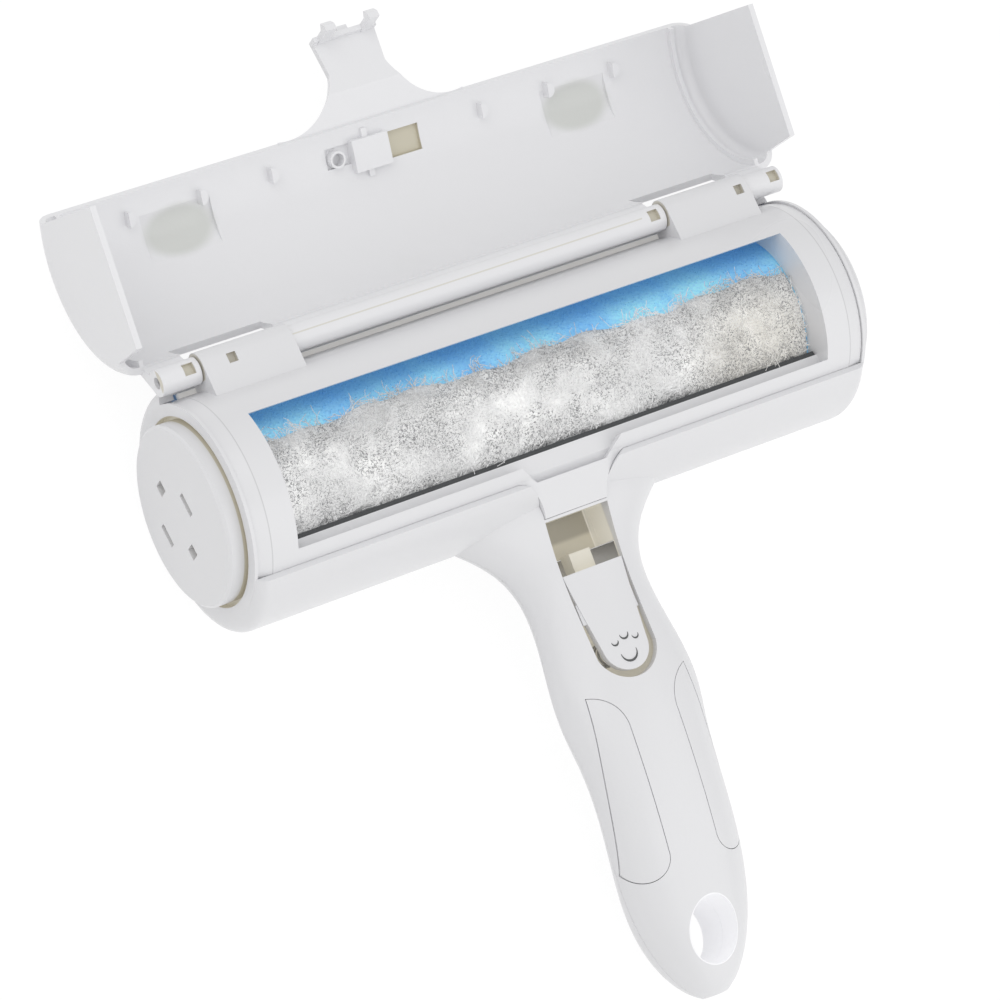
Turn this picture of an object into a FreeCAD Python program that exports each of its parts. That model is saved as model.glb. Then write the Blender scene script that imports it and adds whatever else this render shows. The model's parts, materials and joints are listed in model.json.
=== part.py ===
# Self-cleaning pet hair removal brush, lid open.
# Head frame while modelling: X runs along the roller, Y from the handle to the lid hinge, Z out of the
# window. The origin is the middle of the housing's arc. Every node is then seated as the brush lies.
import FreeCAD, Part
import math
import os
import Sketcher

V = FreeCAD.Vector
os.makedirs("parts", exist_ok=True)
doc = FreeCAD.newDocument("PetHairBrush")
sheet = doc.addObject("Spreadsheet::Sheet", "Dims")

SIZES = {
    # Window frame: the curved upper shell of the head, with the window over the drum.
    "frame_radius": 28.4, "frame_wall": 2.0, "frame_half": 92.7, "frame_start": 2, "frame_end": 142,
    "crease_width": 4.0, "crease_drop": 0.6,
    "window_end": 11.4, "window_turn": 38.94, "notch_half": 10.7, "notch_depth": 4.5,
    "skirt_wall": 1.7, "ledge_width": 2.45, "ledge_sink": 1.85, "ledge_wall": 1.6,
    "lip_half": 9.5, "lip_end_out": 3.35, "lip_end_top": 13.4, "lip_wall": 2.3, "lip_flare": 10.8,
    # Lower housing: the tub round the drum, its end walls and the handle's front half.
    "tub_top_rise": 1.9, "tub_top_turn": 41.05, "seam_gap": 0.1, "tub_bulge": 3.9, "floor_rise": 5.9,
    "floor_in": 5.2, "tub_rear_out": 3.5, "tub_rear_z": 1.6, "tub_wall": 2.2, "slot_room": 3.41,
    "end_reach": 1.1, "end_wall": 2.2, "end_ring": 0.9, "recess_depth": 2.0,
    "end_round": 3.5,
    # End caps.
    "cap_step": 4.45, "cap_gap": 1.25, "cap_stand": 4.4, "cap_wall": 2.0, "cap_round": 0.7,
    "snap_radius": 9.3, "snap_angle": 75, "snap_square": 3.6, "snap_slot": 6.2, "snap_slot_width": 2.0,
    # Drum: a velvet-covered roller that rocks on a steel axle, set below the housing's centre.
    "drum_drop": 3.8, "velvet_step": 6.4, "velvet_thick": 1.5, "velvet_end": 5.4, "velvet_joint": 0.6,
    "drum_wall": 2.0, "drum_end_gap": 0.6, "hub_radius": 6.0, "web_thick": 2.0,
    "axle_radius": 3.0, "axle_end_gap": 0.4, "bush_radius": 5.0, "running_gap": 0.05,
    # Rubber strips and the caught fur.
    "wiper_reach": 2.1, "wiper_root": 1.6, "wiper_tip": 0.6, "wiper_end": 9.7,
    "seal_width": 1.2, "seal_drop": 2.6, "mat_gap": 0.3, "mat_thick": 2.0, "mat_front": 13.6, "mat_back": 11,
    # Lid hinge.
    "hinge_out": 4.8, "hinge_z": 7.4, "pin_radius": 1.5, "clip_far": 35.2, "clip_near": 9.1,
    "clip_radius": 4.5, "barrel_radius": 3.6, "hinge_gap": 0.4, "ear_reach": 2.3, "open_angle": 192,
    # Lid, modelled closed over the frame and then swung open.
    "lid_gap": 0.5, "lid_wall": 1.8, "cheek_gap": 0.7, "cheek_wall": 1.6, "lid_round": 4.5,
    "lid_start": 24, "lid_end": 137.4, "notch_end": 37,
    "cheek_front_y": 8.8, "cheek_front_z": 13.7, "cheek_rear_y": 26.3, "cheek_rear_z": 2.6,
    "tongue_half": 8.6, "tongue_end_half": 9.5, "tongue_end_out": 16.7, "tongue_top": 16.4,
    "tongue_wall": 1.9, "tongue_flare": 20, "hook_drop": 9.5, "hook_wall": 1.6, "hook_width": 3.2,
    "hook_spread": 6.6, "barb_reach": 1.4,
    # Fittings on the lid's inner face, at angles from +Y about the head's axis.
    "nub_turn": 124.3, "nub_first": 32.5, "nub_step": 21.2, "nub_radius": 2.0, "nub_height": 2.6,
    "scoop_turn": 111, "scoop_radius": 12, "scoop_depth": 1.1, "scoop_start": 51.3, "scoop_length": 20.7,
    "fitting_turn": 120.5, "block_left": 8.8, "block_right": 2.2, "block_side": 4.3, "block_height": 2.6,
    "pane_left": 2.9, "pane_right": 12.8, "pane_side": 3.6, "pane_depth": 1.0,
    "hollow_left": 16, "hollow_side": 2.8, "hollow_depth": 0.8, "ring_x": 13.4, "ring_outer": 2.3,
    "ring_inner": 1.7, "rib_gap": 0.4, "rib_width": 1.2, "rib_height": 1.6, "pit_width": 2.6,
    "pit_depth": 1.6,
    # Handle, as half widths, half depths and heights at named stations from the head to the tip.
    "root_out": -1.4, "root_half": 36, "root_depth": 14.0, "root_z": 0.2,
    "throat_out": 5.6, "throat_half": 28.5, "throat_depth": 12.8, "throat_z": 0.2,
    "collar_out": 14.3, "collar_half": 20.8, "collar_depth": 11.6, "collar_z": 0.4,
    "waist_out": 32.6, "waist_half": 18.2, "waist_depth": 10.6, "waist_z": 1.8,
    "palm_out": 65.6, "palm_half": 19.2, "palm_depth": 11.4, "palm_z": 2.0,
    "heel_out": 95.6, "heel_half": 18.5, "heel_depth": 11.9, "heel_z": -2.6,
    "eye_out": 117.6, "eye_half": 15.3, "eye_depth": 11.6, "eye_z": -7.8,
    "crown_out": 128.6, "crown_half": 9.8, "crown_depth": 8.4, "crown_z": -9.3,
    "tip_out": 134.5, "tip_half": 3.6, "tip_depth": 3.4, "tip_z": -9.9,
    "handle_wall": 2.4, "parting_gap": 0.1, "hang_half_width": 7.2, "hang_half_height": 9,
    # Latch recess, release button and its rocker.
    "recess_half": 9.6, "recess_top_out": 4.2, "recess_end_out": 49.2, "recess_floor": 2.0,
    "button_top_out": 18.8, "button_gap": 0.45, "button_end_gap": 2.0, "button_taper": 2.6,
    "button_wall": 2.2, "button_sink": 0.4,
    "rocker_out": 29.6, "rocker_z": 2.2, "rocker_radius": 2.8, "rocker_pin_half": 12.6, "rocker_boss": 3.0,
    "latch_reach": 5.0, "latch_half": 3.2, "spring_out": 41.6, "spring_radius": 3.0, "spring_wire": 0.35,
    "spring_turns": 6, "spring_seat": 1.2,
    # Inlaid grips on both flanks of the handle's front.
    "grip_top_out": 50, "grip_end_out": 100.3, "grip_inner": 7.3, "grip_outer_top": 15.4,
    "grip_outer_end": 18.4, "grip_thick": 1.4, "grip_seam": 0.2, "grip_round": 5.5,
    # Screws that close the handle.
    "screw_front_out": 57.6, "screw_rear_out": 103.6, "screw_radius": 1.4, "screw_head": 2.8,
    "screw_head_deep": 2.0, "boss_radius": 3.4,
}

# Sizes that follow from others: lengths along the roller from the frame's, sections from its radius.
FITS = {
    "end_half": "frame_half + end_reach",
    "cap_half": "end_half + cap_stand",
    "lid_half": "cap_half + cheek_gap + cheek_wall",
    "window_half": "frame_half - window_end",
    "velvet_half": "end_half - velvet_end",
    "wiper_half": "frame_half - wiper_end",
    "clip_inner": "frame_half - clip_far",
    "clip_outer": "frame_half - clip_near",
    "ear_outer": "frame_half + ear_reach",
    "lid_inner": "frame_radius + lid_gap",
    "window_side": "frame_radius * sin(window_turn)",
    "ledge_top": "sqrt((frame_radius - frame_wall)^2 - window_side^2) - ledge_sink",
    "tub_top_y": "(frame_radius + tub_top_rise) * sin(90 - tub_top_turn)",
    "tub_top_z": "(frame_radius + tub_top_rise) * sin(tub_top_turn)",
    "tub_front": "frame_radius + tub_bulge",
    "tub_floor": "frame_radius - floor_rise",
    "tub_floor_y": "frame_radius - floor_in",
    "tub_rear_y": "frame_radius + tub_rear_out",
    "cap_radius": "frame_radius - cap_step",
    "recess_radius": "cap_radius + cap_gap",
    "velvet_radius": "frame_radius - velvet_step",
    "slot_half_width": "sqrt(velvet_radius^2 - (tub_floor - drum_drop)^2) + slot_room",
}
OUT_FROM_FRAME = ["lip_end", "tongue_end", "hinge", "root", "throat", "collar", "waist", "palm", "heel",
                  "eye", "crown", "tip", "recess_top", "recess_end", "button_top", "rocker", "spring",
                  "grip_top", "grip_end", "screw_front", "screw_rear"]
for place in OUT_FROM_FRAME:
    FITS[place + "_y"] = "frame_radius + %s_out" % place

for number, (alias, value) in enumerate([*SIZES.items(), *FITS.items()], start=1):
    if alias in FITS:
        doc.recompute()
        value = round(float(sheet.evalExpression(value)), 6)
    sheet.set("A%d" % number, alias)
    sheet.set("B%d" % number, str(value))
    sheet.setAlias("B%d" % number, alias)
doc.recompute()


def size(text):
    """The value of one alias, or of an expression in aliases."""
    return float(sheet.evalExpression(text))


# Reach of a block that cuts right through.
FAR = 2 * size("end_half")


def new_body(name):
    body = doc.addObject("PartDesign::Body", name)
    body.Label = name
    return body


def new_sketch(body, plane, name, shift="0"):
    """A sketch on one of the body's own origin planes, shifted along the plane's normal."""
    sketch = body.newObject("Sketcher::SketchObject", name)
    support = [item for item in body.Origin.OriginFeatures if item.Role == plane][0]
    sketch.AttachmentSupport = (support, [""])
    sketch.MapMode = "FlatFace"
    if shift != "0":
        sketch.AttachmentOffset = FreeCAD.Placement(V(0, 0, size(shift)), FreeCAD.Rotation())
        sketch.setExpression("AttachmentOffset.Base.z", bound(shift))
    return sketch


def bound(text):
    """The expression as another object reads it, with the sheet's name before each alias."""
    words = []
    word = ""
    for letter in text + " ":
        if letter.isalnum() or letter == "_":
            word += letter
            continue
        words.append("Dims." + word if word in SIZES or word in FITS else word)
        words.append(letter)
        word = ""
    return "".join(words).strip()


def pin_point(sketch, edge, corner, across, up):
    """Hold one corner of a sketch at a place given by two expressions."""
    for kind, text in (("DistanceX", across), ("DistanceY", up)):
        index = sketch.addConstraint(Sketcher.Constraint(kind, edge, corner, size(text)))
        sketch.setExpression("Constraints[%d]" % index, bound(text))


def draw_polygon(sketch, corners):
    """A closed outline of straight lines, each corner bound to the sheet."""
    places = [V(size(across), size(up), 0) for across, up in corners]
    edges = []
    for start, end in zip(places, places[1:] + places[:1]):
        edges.append(sketch.addGeometry(Part.LineSegment(start, end)))
    for edge, following in zip(edges, edges[1:] + edges[:1]):
        sketch.addConstraint(Sketcher.Constraint("Coincident", edge, 2, following, 1))
    for edge, (across, up) in zip(edges, corners):
        pin_point(sketch, edge, 1, across, up)


def draw_circle(sketch, across, up, radius):
    """A circle whose centre and radius are bound to the sheet."""
    centre = V(size(across), size(up), 0)
    edge = sketch.addGeometry(Part.Circle(centre, V(0, 0, 1), size(radius)))
    pin_point(sketch, edge, 3, across, up)
    index = sketch.addConstraint(Sketcher.Constraint("Radius", edge, size(radius)))
    sketch.setExpression("Constraints[%d]" % index, bound(radius))


def draw_chain(sketch, edges):
    """A closed outline of lines and arcs whose ends already meet, joined end to end."""
    added = [sketch.addGeometry(edge) for edge in edges]
    for first, second in zip(added, added[1:] + added[:1]):
        pairs = [(one, other) for one in (2, 1) for other in (1, 2)]
        one, other = min(pairs, key=lambda pair: sketch.getPoint(first, pair[0]).distanceToPoint(
            sketch.getPoint(second, pair[1])))
        sketch.addConstraint(Sketcher.Constraint("Coincident", first, one, second, other))


def pad(body, sketch, length, name, symmetric=False, reverse=False):
    feature = body.newObject("PartDesign::Pad", name)
    feature.Profile = sketch
    feature.SideType = "Symmetric" if symmetric else "One side"
    feature.Reversed = reverse
    feature.setExpression("Length", bound(length))
    return feature


def pocket(body, sketch, name, symmetric=False, reverse=False, length=None):
    """Cut through everything, or to a length, and make sure that something was cut."""
    doc.recompute()
    before = body.Shape.Volume
    feature = body.newObject("PartDesign::Pocket", name)
    feature.Profile = sketch
    feature.SideType = "Symmetric" if symmetric else "One side"
    feature.Reversed = reverse
    if length is None:
        feature.Type = "ThroughAll"
    else:
        feature.setExpression("Length", bound(length))
    doc.recompute()
    if body.Shape.Volume >= before:
        raise ValueError(name + " cuts nothing")
    return feature


def revolve(body, sketch, name, angle="360", kind="PartDesign::Revolution"):
    """Turn a profile about the sketch's own horizontal axis."""
    feature = body.newObject(kind, name)
    feature.Profile = sketch
    feature.ReferenceAxis = (sketch, ["H_Axis"])
    feature.setExpression("Angle", bound(angle))
    return feature


def plain_feature(name, shape):
    """A node whose lofted or swept form no body or primitive gives."""
    feature = doc.addObject("Part::Feature", name)
    feature.Label = name
    feature.Shape = shape
    return feature


def cylinder_along_x(low, high, radius, centre_y, centre_z):
    return Part.makeCylinder(radius, high - low, V(low, centre_y, centre_z), V(1, 0, 0))


def prism_x(corners, low, high):
    """A solid from an outline of (y, z) corners, from one X to another."""
    wire = Part.makePolygon([V(low, y, z) for y, z in corners + corners[:1]])
    return Part.Face(wire).extrude(V(high - low, 0, 0))


def prism_z(edges, low, high):
    """A solid from a closed outline of edges at Z = 0, from one Z to another."""
    face = Part.Face(Part.Wire(Part.__sortEdges__(edges)))
    face.translate(V(0, 0, low))
    return face.extrude(V(0, 0, high - low))


def at_angle(radius, degrees):
    """The (y, z) point at a radius and an angle from +Y towards +Z."""
    return radius * math.cos(math.radians(degrees)), radius * math.sin(math.radians(degrees))


def line(start, end):
    return Part.LineSegment(V(start[0], start[1], 0), V(end[0], end[1], 0))


def arc(start, middle, end):
    return Part.Arc(V(start[0], start[1], 0), V(middle[0], middle[1], 0), V(end[0], end[1], 0))


def round_profile(half, radius, corner):
    """Half of a drum's section: an (x, r) outline with rounded outer corners."""
    bend = corner * (1 - math.sqrt(0.5))
    left_low = (-half, radius - corner)
    left_high = (-half + corner, radius)
    right_high = (half - corner, radius)
    right_low = (half, radius - corner)
    return [line((-half, 0), left_low), arc(left_low, (-half + bend, radius - bend), left_high),
            line(left_high, right_high), arc(right_high, (half - bend, radius - bend), right_low),
            line(right_low, (half, 0)), line((half, 0), (-half, 0))]


# Handle form. Every handle piece is cut from this loft or from the same loft drawn in by a wall.
STATIONS = ["root", "throat", "collar", "waist", "palm", "heel", "eye", "crown", "tip"]
lofts = {}


def handle_loft(inset, names):
    """The handle's outer form drawn in by an inset, through the named stations."""
    key = (inset, tuple(names))
    if key in lofts:
        return lofts[key]
    sections = []
    for name in names:
        half = size(name + "_half") - inset
        depth = size(name + "_depth") - inset
        centre = V(0, -size(name + "_y"), size(name + "_z"))
        ellipse = Part.Ellipse(centre + V(half, 0, 0), centre + V(0, 0, depth), centre)
        sections.append(Part.Wire(ellipse.toShape()))
    lofts[key] = Part.makeLoft(sections, True, False)
    return lofts[key]


def surface_height(solid, place):
    """The highest point of a solid above one place on the handle's middle line."""
    probe = Part.makeLine(V(0, -place, -FAR), V(0, -place, FAR))
    return probe.common(solid).BoundBox.ZMax


def parting_blocks():
    """Two solids that share the handle's parting line: above it and below it."""
    reach = FAR
    head = (-size("root_y") + 5, size("root_z"))
    middle = (-size("palm_y"), size("palm_z"))
    end = (-size("tip_y") - 5, size("tip_z"))
    gap = size("parting_gap") / 2
    above = [(head[0], head[1] + gap), (middle[0], middle[1] + gap), (end[0], end[1] + gap),
             (end[0], reach), (head[0], reach)]
    below = [(head[0], head[1] - gap), (middle[0], middle[1] - gap), (end[0], end[1] - gap),
             (end[0], -reach), (head[0], -reach)]
    return prism_x(above, -reach, reach), prism_x(below, -reach, reach)


def hang_hole():
    """The oval hole near the handle's tip."""
    high = max(size("hang_half_height"), size("hang_half_width") + 0.1)
    centre = V(0, -size("eye_y"), 0)
    oval = Part.Ellipse(centre + V(0, high, 0), centre + V(size("hang_half_width"), 0, 0), centre)
    return prism_z([oval.toShape()], -FAR, FAR)


def recess_outline(gap, top_y, taper, end_gap):
    """The latch recess in plan, or the button in it drawn in by a gap."""
    half = size("recess_half") - gap
    low_half = half - taper
    end_y = -size("recess_end_y") + end_gap
    shoulder_y = end_y + low_half * 0.8
    edges = [line((-half, -top_y), (half, -top_y)), line((half, -top_y), (low_half, shoulder_y)),
             arc((low_half, shoulder_y), (0, end_y), (-low_half, shoulder_y)),
             line((-low_half, shoulder_y), (-half, -top_y))]
    return [edge.toShape() for edge in edges]


def screw_places():
    return [size("screw_front_y"), size("screw_rear_y")]


outer_handle = handle_loft(0, STATIONS)
inner_handle = handle_loft(size("handle_wall"), STATIONS[2:6])
upper_block, lower_block = parting_blocks()
hole_through = hang_hole()


def tub_section():
    """Outer outline of the tub as (y, z) points: front arc, flat floor and rear arc."""
    front_top = (-size("tub_top_y"), size("tub_top_z"))
    front_low = (-size("tub_floor_y"), -size("tub_floor"))
    rear_low = (size("tub_floor_y"), -size("tub_floor"))
    rear_top = (size("tub_rear_y"), size("tub_rear_z"))
    rear_middle = at_angle(size("tub_front") - 0.2, -24)
    return front_top, (-size("tub_front"), 0.5), front_low, rear_low, rear_middle, rear_top


def tub_solid(inset, half):
    """The tub as a full block, drawn in by an inset, with its section closed towards the centre."""
    front_top, front_middle, front_low, rear_low, rear_middle, rear_top = tub_section()

    def drawn_in(point):
        length = math.hypot(point[0], point[1])
        return point[0] * (1 - inset / length), point[1] * (1 - inset / length)

    floor = -size("tub_floor") + inset
    front_floor = (front_low[0] + inset * 0.9, floor)
    rear_floor = (rear_low[0] - inset * 0.9, floor)
    front_start = drawn_in(front_top)
    rear_end = drawn_in(rear_top)
    edges = [line((0, 0), front_start), arc(front_start, drawn_in(front_middle), front_floor),
             line(front_floor, rear_floor), arc(rear_floor, drawn_in(rear_middle), rear_end),
             line(rear_end, (0, 0))]
    face = Part.Face(Part.Wire([edge.toShape() for edge in edges]))
    face.rotate(V(0, 0, 0), V(1, 1, 1), 120)
    face.translate(V(-half, 0, 0))
    return face.extrude(V(2 * half, 0, 0))


def bearing_bores():
    bores = []
    for side in (-1, 1):
        low = min(side * size("end_half - recess_depth - end_wall - 1"), side * size("end_half + 1"))
        reach = size("recess_depth + end_wall + 2")
        bores.append(cylinder_along_x(low, low + reach, size("bush_radius"), 0, -size("drum_drop")))
    return bores


def end_walls():
    """Both end walls of the tub, with the shallow recess that the end cap sits in."""
    walls = []
    inner = size("end_half - recess_depth - end_wall")
    lip = size("end_half - end_ring")
    floor_z = -size("tub_floor")
    floor = prism_x([(-FAR, -FAR), (FAR, -FAR), (FAR, floor_z), (-FAR, floor_z)], -FAR, FAR)
    for side in (-1, 1):
        ends = sorted((side * inner, side * lip))
        plate = cylinder_along_x(ends[0], ends[1], size("frame_radius - frame_wall - 0.1"), 0, 0)
        ends = sorted((side * lip, side * size("end_half")))
        ring = cylinder_along_x(ends[0], ends[1], size("frame_radius"), 0, 0)
        ends = sorted((side * size("end_half - recess_depth"), side * size("end_half + 1")))
        recess = cylinder_along_x(ends[0], ends[1], size("recess_radius"), 0, 0)
        walls.append(plate.fuse(ring).cut(recess).cut(floor))
    return walls


def rounded_tub():
    """The tub's outer block with its long end edges rounded."""
    block = tub_solid(0, size("end_half"))
    half = size("end_half")
    rounds = []
    for edge in block.Edges:
        box = edge.BoundBox
        flat = box.XLength < 0.01 and abs(abs(box.Center.x) - half) < 0.01
        if flat and edge.Curve.TypeId == "Part::GeomCircle":
            rounds.append(edge)
    return block.makeFillet(size("end_round"), rounds)


def make_lower_housing():
    inner_half = size("end_half - recess_depth - end_wall")
    tub = rounded_tub().cut(tub_solid(size("tub_wall"), inner_half))
    under_frame = cylinder_along_x(-size("frame_half + seam_gap"), size("frame_half + seam_gap"),
                                   size("frame_radius + seam_gap"), 0, 0)
    tub = tub.cut(under_frame.common(Part.makeBox(2 * FAR, 2 * FAR, FAR, V(-FAR, -FAR, -0.5))))
    slot = Part.makeBox(2 * inner_half, 2 * size("slot_half_width"), 8,
                        V(-inner_half, -size("slot_half_width"), -size("tub_floor") - 3))
    cap_seats = [cylinder_along_x(low, low + 20, size("recess_radius"), 0, 0)
                 for low in (-size("end_half - recess_depth") - 20, size("end_half - recess_depth"))]
    tub = tub.cut(slot).fuse(end_walls())
    tub = tub.cut(cap_seats + bearing_bores())
    neck_clear = tub_solid(size("tub_wall"), inner_half).fuse(
        cylinder_along_x(-inner_half, inner_half, size("frame_radius + seam_gap"), 0, 0))
    front = outer_handle.cut(inner_handle).common(upper_block)
    rear_neck = outer_handle.common(lower_block).common(
        prism_x([(-size("root_y") + 6, FAR), (-size("collar_y"), FAR), (-size("collar_y"), -FAR),
                 (-size("root_y") + 6, -FAR)], -FAR, FAR))
    handle = front.fuse(rear_neck).cut(neck_clear)
    housing = tub.fuse(handle).fuse(rocker_bosses() + front_screw_bosses())
    housing = housing.cut([lip_clearance(), latch_recess(), hole_through, rocker_bore()] + screw_pilots())
    housing = housing.cut([grip_skin(side, 0, size("grip_thick")) for side in (-1, 1)])
    return plain_feature("lower_housing", housing.removeSplitter())


def lip_slab(extra):
    """Side view of the frame's lip over the latch recess, made thicker by an extra."""
    top_y, top_z = at_angle(size("frame_radius"), 138)
    end_y = -size("lip_end_y") - extra
    end_z = size("lip_end_top")
    wall = size("lip_wall") + extra
    return [(top_y, top_z + extra), (end_y, end_z + extra), (end_y, end_z - wall), (top_y, top_z - wall)]


def lip_edges(extra):
    """Plan of the lip: a tongue whose flanks flare out into the frame."""
    half = size("lip_half") + extra
    flare = size("lip_flare")
    end_y = -size("lip_end_y") - extra
    base_y = at_angle(size("frame_radius"), 136)[0]
    bend = flare * (1 - math.sqrt(0.5))
    flank_y = base_y - flare - extra
    edges = [line((-half, flank_y), (-half, end_y)), line((-half, end_y), (half, end_y)),
             line((half, end_y), (half, flank_y)),
             arc((half, flank_y), (half + bend, flank_y + flare - bend), (half + flare, flank_y + flare)),
             line((half + flare, flank_y + flare), (half + flare, 0)),
             line((half + flare, 0), (-half - flare, 0)),
             line((-half - flare, 0), (-half - flare, flank_y + flare)),
             arc((-half - flare, flank_y + flare), (-half - bend, flank_y + flare - bend), (-half, flank_y))]
    return edges


def lip_clearance():
    """Room in the housing for the frame's lip."""
    seam = size("parting_gap")
    plan = prism_z([edge.toShape() for edge in lip_edges(seam)], 0, FAR)
    above = lip_slab(seam)
    above[0] = (above[0][0], FAR)
    above[1] = (above[1][0], FAR)
    return plan.common(prism_x(above, -FAR, FAR))


def latch_recess():
    outline = recess_outline(0, size("recess_top_y"), 0.6, 0)
    return prism_z(outline, -size("recess_floor"), FAR)


def rocker_bosses():
    """Two lugs under the handle's front that hold the button's pin."""
    bosses = []
    inner = size("recess_half + 0.2")
    reach = size("rocker_boss")
    for low in (-inner - reach, inner):
        lug = Part.makeBox(reach, 2 * reach, size("waist_z + waist_depth - rocker_z") + reach,
                           V(low, -size("rocker_y") - reach, size("rocker_z") - reach))
        bosses.append(lug.common(outer_handle))
    return bosses


def rocker_bore():
    half = size("rocker_pin_half")
    return cylinder_along_x(-half, half, size("pin_radius"), -size("rocker_y"), size("rocker_z"))


def front_screw_bosses():
    bosses = []
    for place in screw_places():
        post = Part.makeCylinder(size("boss_radius"), 30, V(0, -place, split_height(place) - 3))
        bosses.append(post.common(outer_handle).common(upper_block))
    return bosses


def split_height(place):
    """Height of the handle's parting line at a distance from the head."""
    palm = size("palm_y")
    if place <= palm:
        share = (place - size("root_y") + 5) / (palm - size("root_y") + 5)
        return size("root_z") + share * size("palm_z - root_z") + size("parting_gap") / 2
    share = (place - palm) / size("tip_y + 5 - palm_y")
    return size("palm_z") + share * size("tip_z - palm_z") + size("parting_gap") / 2


def screw_pilots():
    return [Part.makeCylinder(size("screw_radius"), 7, V(0, -place, split_height(place) - 1))
            for place in screw_places()]


def grip_outline(side, gap):
    """Plan of one grip inlay: a long leaf between the flank and the handle's middle."""
    inner = size("grip_inner") + gap
    outer_top = size("grip_outer_top") - gap
    outer_end = size("grip_outer_end") - gap
    top = -size("grip_top_y") - gap
    end = -size("grip_end_y") + gap
    bend = size("grip_round")
    top_corner = (side * outer_top, top)
    inner_top = (side * inner, top - 2 * bend)
    inner_end = (side * inner, end + bend)
    end_corner = (side * outer_end, end + bend * 0.8)
    middle_top = (side * (inner + (outer_top - inner) * 0.32), top - bend * 0.62)
    low_point = (side * (inner + outer_end) / 2, end)
    return [arc(top_corner, middle_top, inner_top), line(inner_top, inner_end),
            arc(inner_end, low_point, end_corner), line(end_corner, top_corner)]


def grip_skin(side, gap, depth):
    """The layer of the handle's front that one grip fills."""
    plan = prism_z([edge.toShape() for edge in grip_outline(side, gap)], -4, 40)
    layer = outer_handle.cut(handle_loft(depth, STATIONS[1:7]))
    return layer.common(plan).common(upper_block)


def make_handle_back():
    back = outer_handle.cut(inner_handle).common(lower_block)
    start = -size("collar_y + seam_gap")
    cover = prism_x([(start, FAR), (-FAR, FAR), (-FAR, -FAR), (start, -FAR)], -FAR, FAR)
    back = back.common(cover)
    for place in screw_places():
        post = Part.makeCylinder(size("boss_radius"), 34, V(0, -place, split_height(place) - 30))
        back = back.fuse(post.common(outer_handle).common(lower_block))
        seat = screw_seat(place)
        head = Part.makeCylinder(size("screw_head + 0.2"), 30, V(0, -place, seat - 30))
        shank = Part.makeCylinder(size("screw_radius + 0.15"), 40, V(0, -place, seat - 1))
        back = back.cut([head, shank])
    floor = spring_floor()
    pad_post = Part.makeCylinder(size("spring_radius") + 1.2, 20, V(0, -size("spring_y"), floor - 20))
    back = back.fuse(pad_post.common(outer_handle))
    return plain_feature("handle_back", back.cut(hole_through).removeSplitter())


def screw_seat(place):
    """Height of the face that one screw's head bears on."""
    return split_height(place) - 5.0


def make_screws():
    solids = []
    for place in screw_places():
        seat = screw_seat(place)
        deep = size("screw_head_deep")
        head = Part.makeCylinder(size("screw_head"), deep, V(0, -place, seat - deep))
        shank = Part.makeCylinder(size("screw_radius"), split_height(place) + 6 - seat, V(0, -place, seat))
        slot = Part.makeBox(2.6, 0.6, 1.0, V(-1.3, -place - 0.3, seat - deep))
        cross = Part.makeBox(0.6, 2.6, 1.0, V(-0.3, -place - 1.3, seat - deep))
        solids.append(head.fuse(shank).cut([slot, cross]).removeSplitter())
    return plain_feature("housing_screws", Part.Compound(solids))


def make_grips():
    for side, name in ((-1, "grip_left"), (1, "grip_right")):
        inlay = grip_skin(side, size("grip_seam"), size("grip_thick"))
        plain_feature(name, inlay)


def make_window_frame():
    """The upper shell: a turned arc with the window, the lip, the skirts and the hinge clips."""
    body = new_body("window_frame")
    slab = new_sketch(body, "YZ_Plane", "lip_side")
    corners = lip_slab(0)
    draw_chain(slab, [line(a, b) for a, b in zip(corners, corners[1:] + corners[:1])])
    pad(body, slab, "2 * (lip_half + lip_flare)", "lip", symmetric=True)
    plan = new_sketch(body, "XY_Plane", "lip_plan")
    half = size("lip_half + lip_flare") + 5
    low = -size("lip_end_y") - 5
    frame_corners = [(-half, low), (half, low), (half, 5), (-half, 5)]
    draw_chain(plan, [line(a, b) for a, b in zip(frame_corners, frame_corners[1:] + frame_corners[:1])])
    draw_chain(plan, lip_edges(0))
    pocket(body, plan, "lip_flanks", reverse=True)

    shell = new_sketch(body, "XY_Plane", "shell_section")
    shell.AttachmentOffset = FreeCAD.Placement(V(0, 0, 0), FreeCAD.Rotation(V(1, 0, 0), size("frame_start")))
    draw_polygon(shell, [
        ("-frame_half", "frame_radius - frame_wall"), ("-frame_half", "frame_radius - crease_drop"),
        ("-frame_half + crease_width", "frame_radius"), ("frame_half - crease_width", "frame_radius"),
        ("frame_half", "frame_radius - crease_drop"), ("frame_half", "frame_radius - frame_wall")])
    revolve(body, shell, "shell", angle="frame_end - frame_start")

    window = new_sketch(body, "XY_Plane", "window_plan")
    bend = "notch_depth"
    draw_polygon(window, [
        ("-window_half", "window_side"), ("-window_half", "-window_side"),
        ("-notch_half - " + bend, "-window_side"), ("-notch_half", "-window_side - notch_depth"),
        ("notch_half", "-window_side - notch_depth"), ("notch_half + " + bend, "-window_side"),
        ("window_half", "-window_side"), ("window_half", "window_side")])
    pocket(body, window, "window", reverse=True)
    add_skirts(body)

    ledge = new_sketch(body, "YZ_Plane", "ledge_side")
    draw_polygon(ledge, [
        ("-window_side - 2.2", "ledge_top"), ("-window_side + ledge_width", "ledge_top"),
        ("-window_side + ledge_width", "ledge_top - ledge_wall"),
        ("-window_side - 4.6", "ledge_top - ledge_wall")])
    pad(body, ledge, "2 * window_half + 0.2", "ledge", symmetric=True)
    add_clips(body)
    doc.recompute()
    return body


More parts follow.
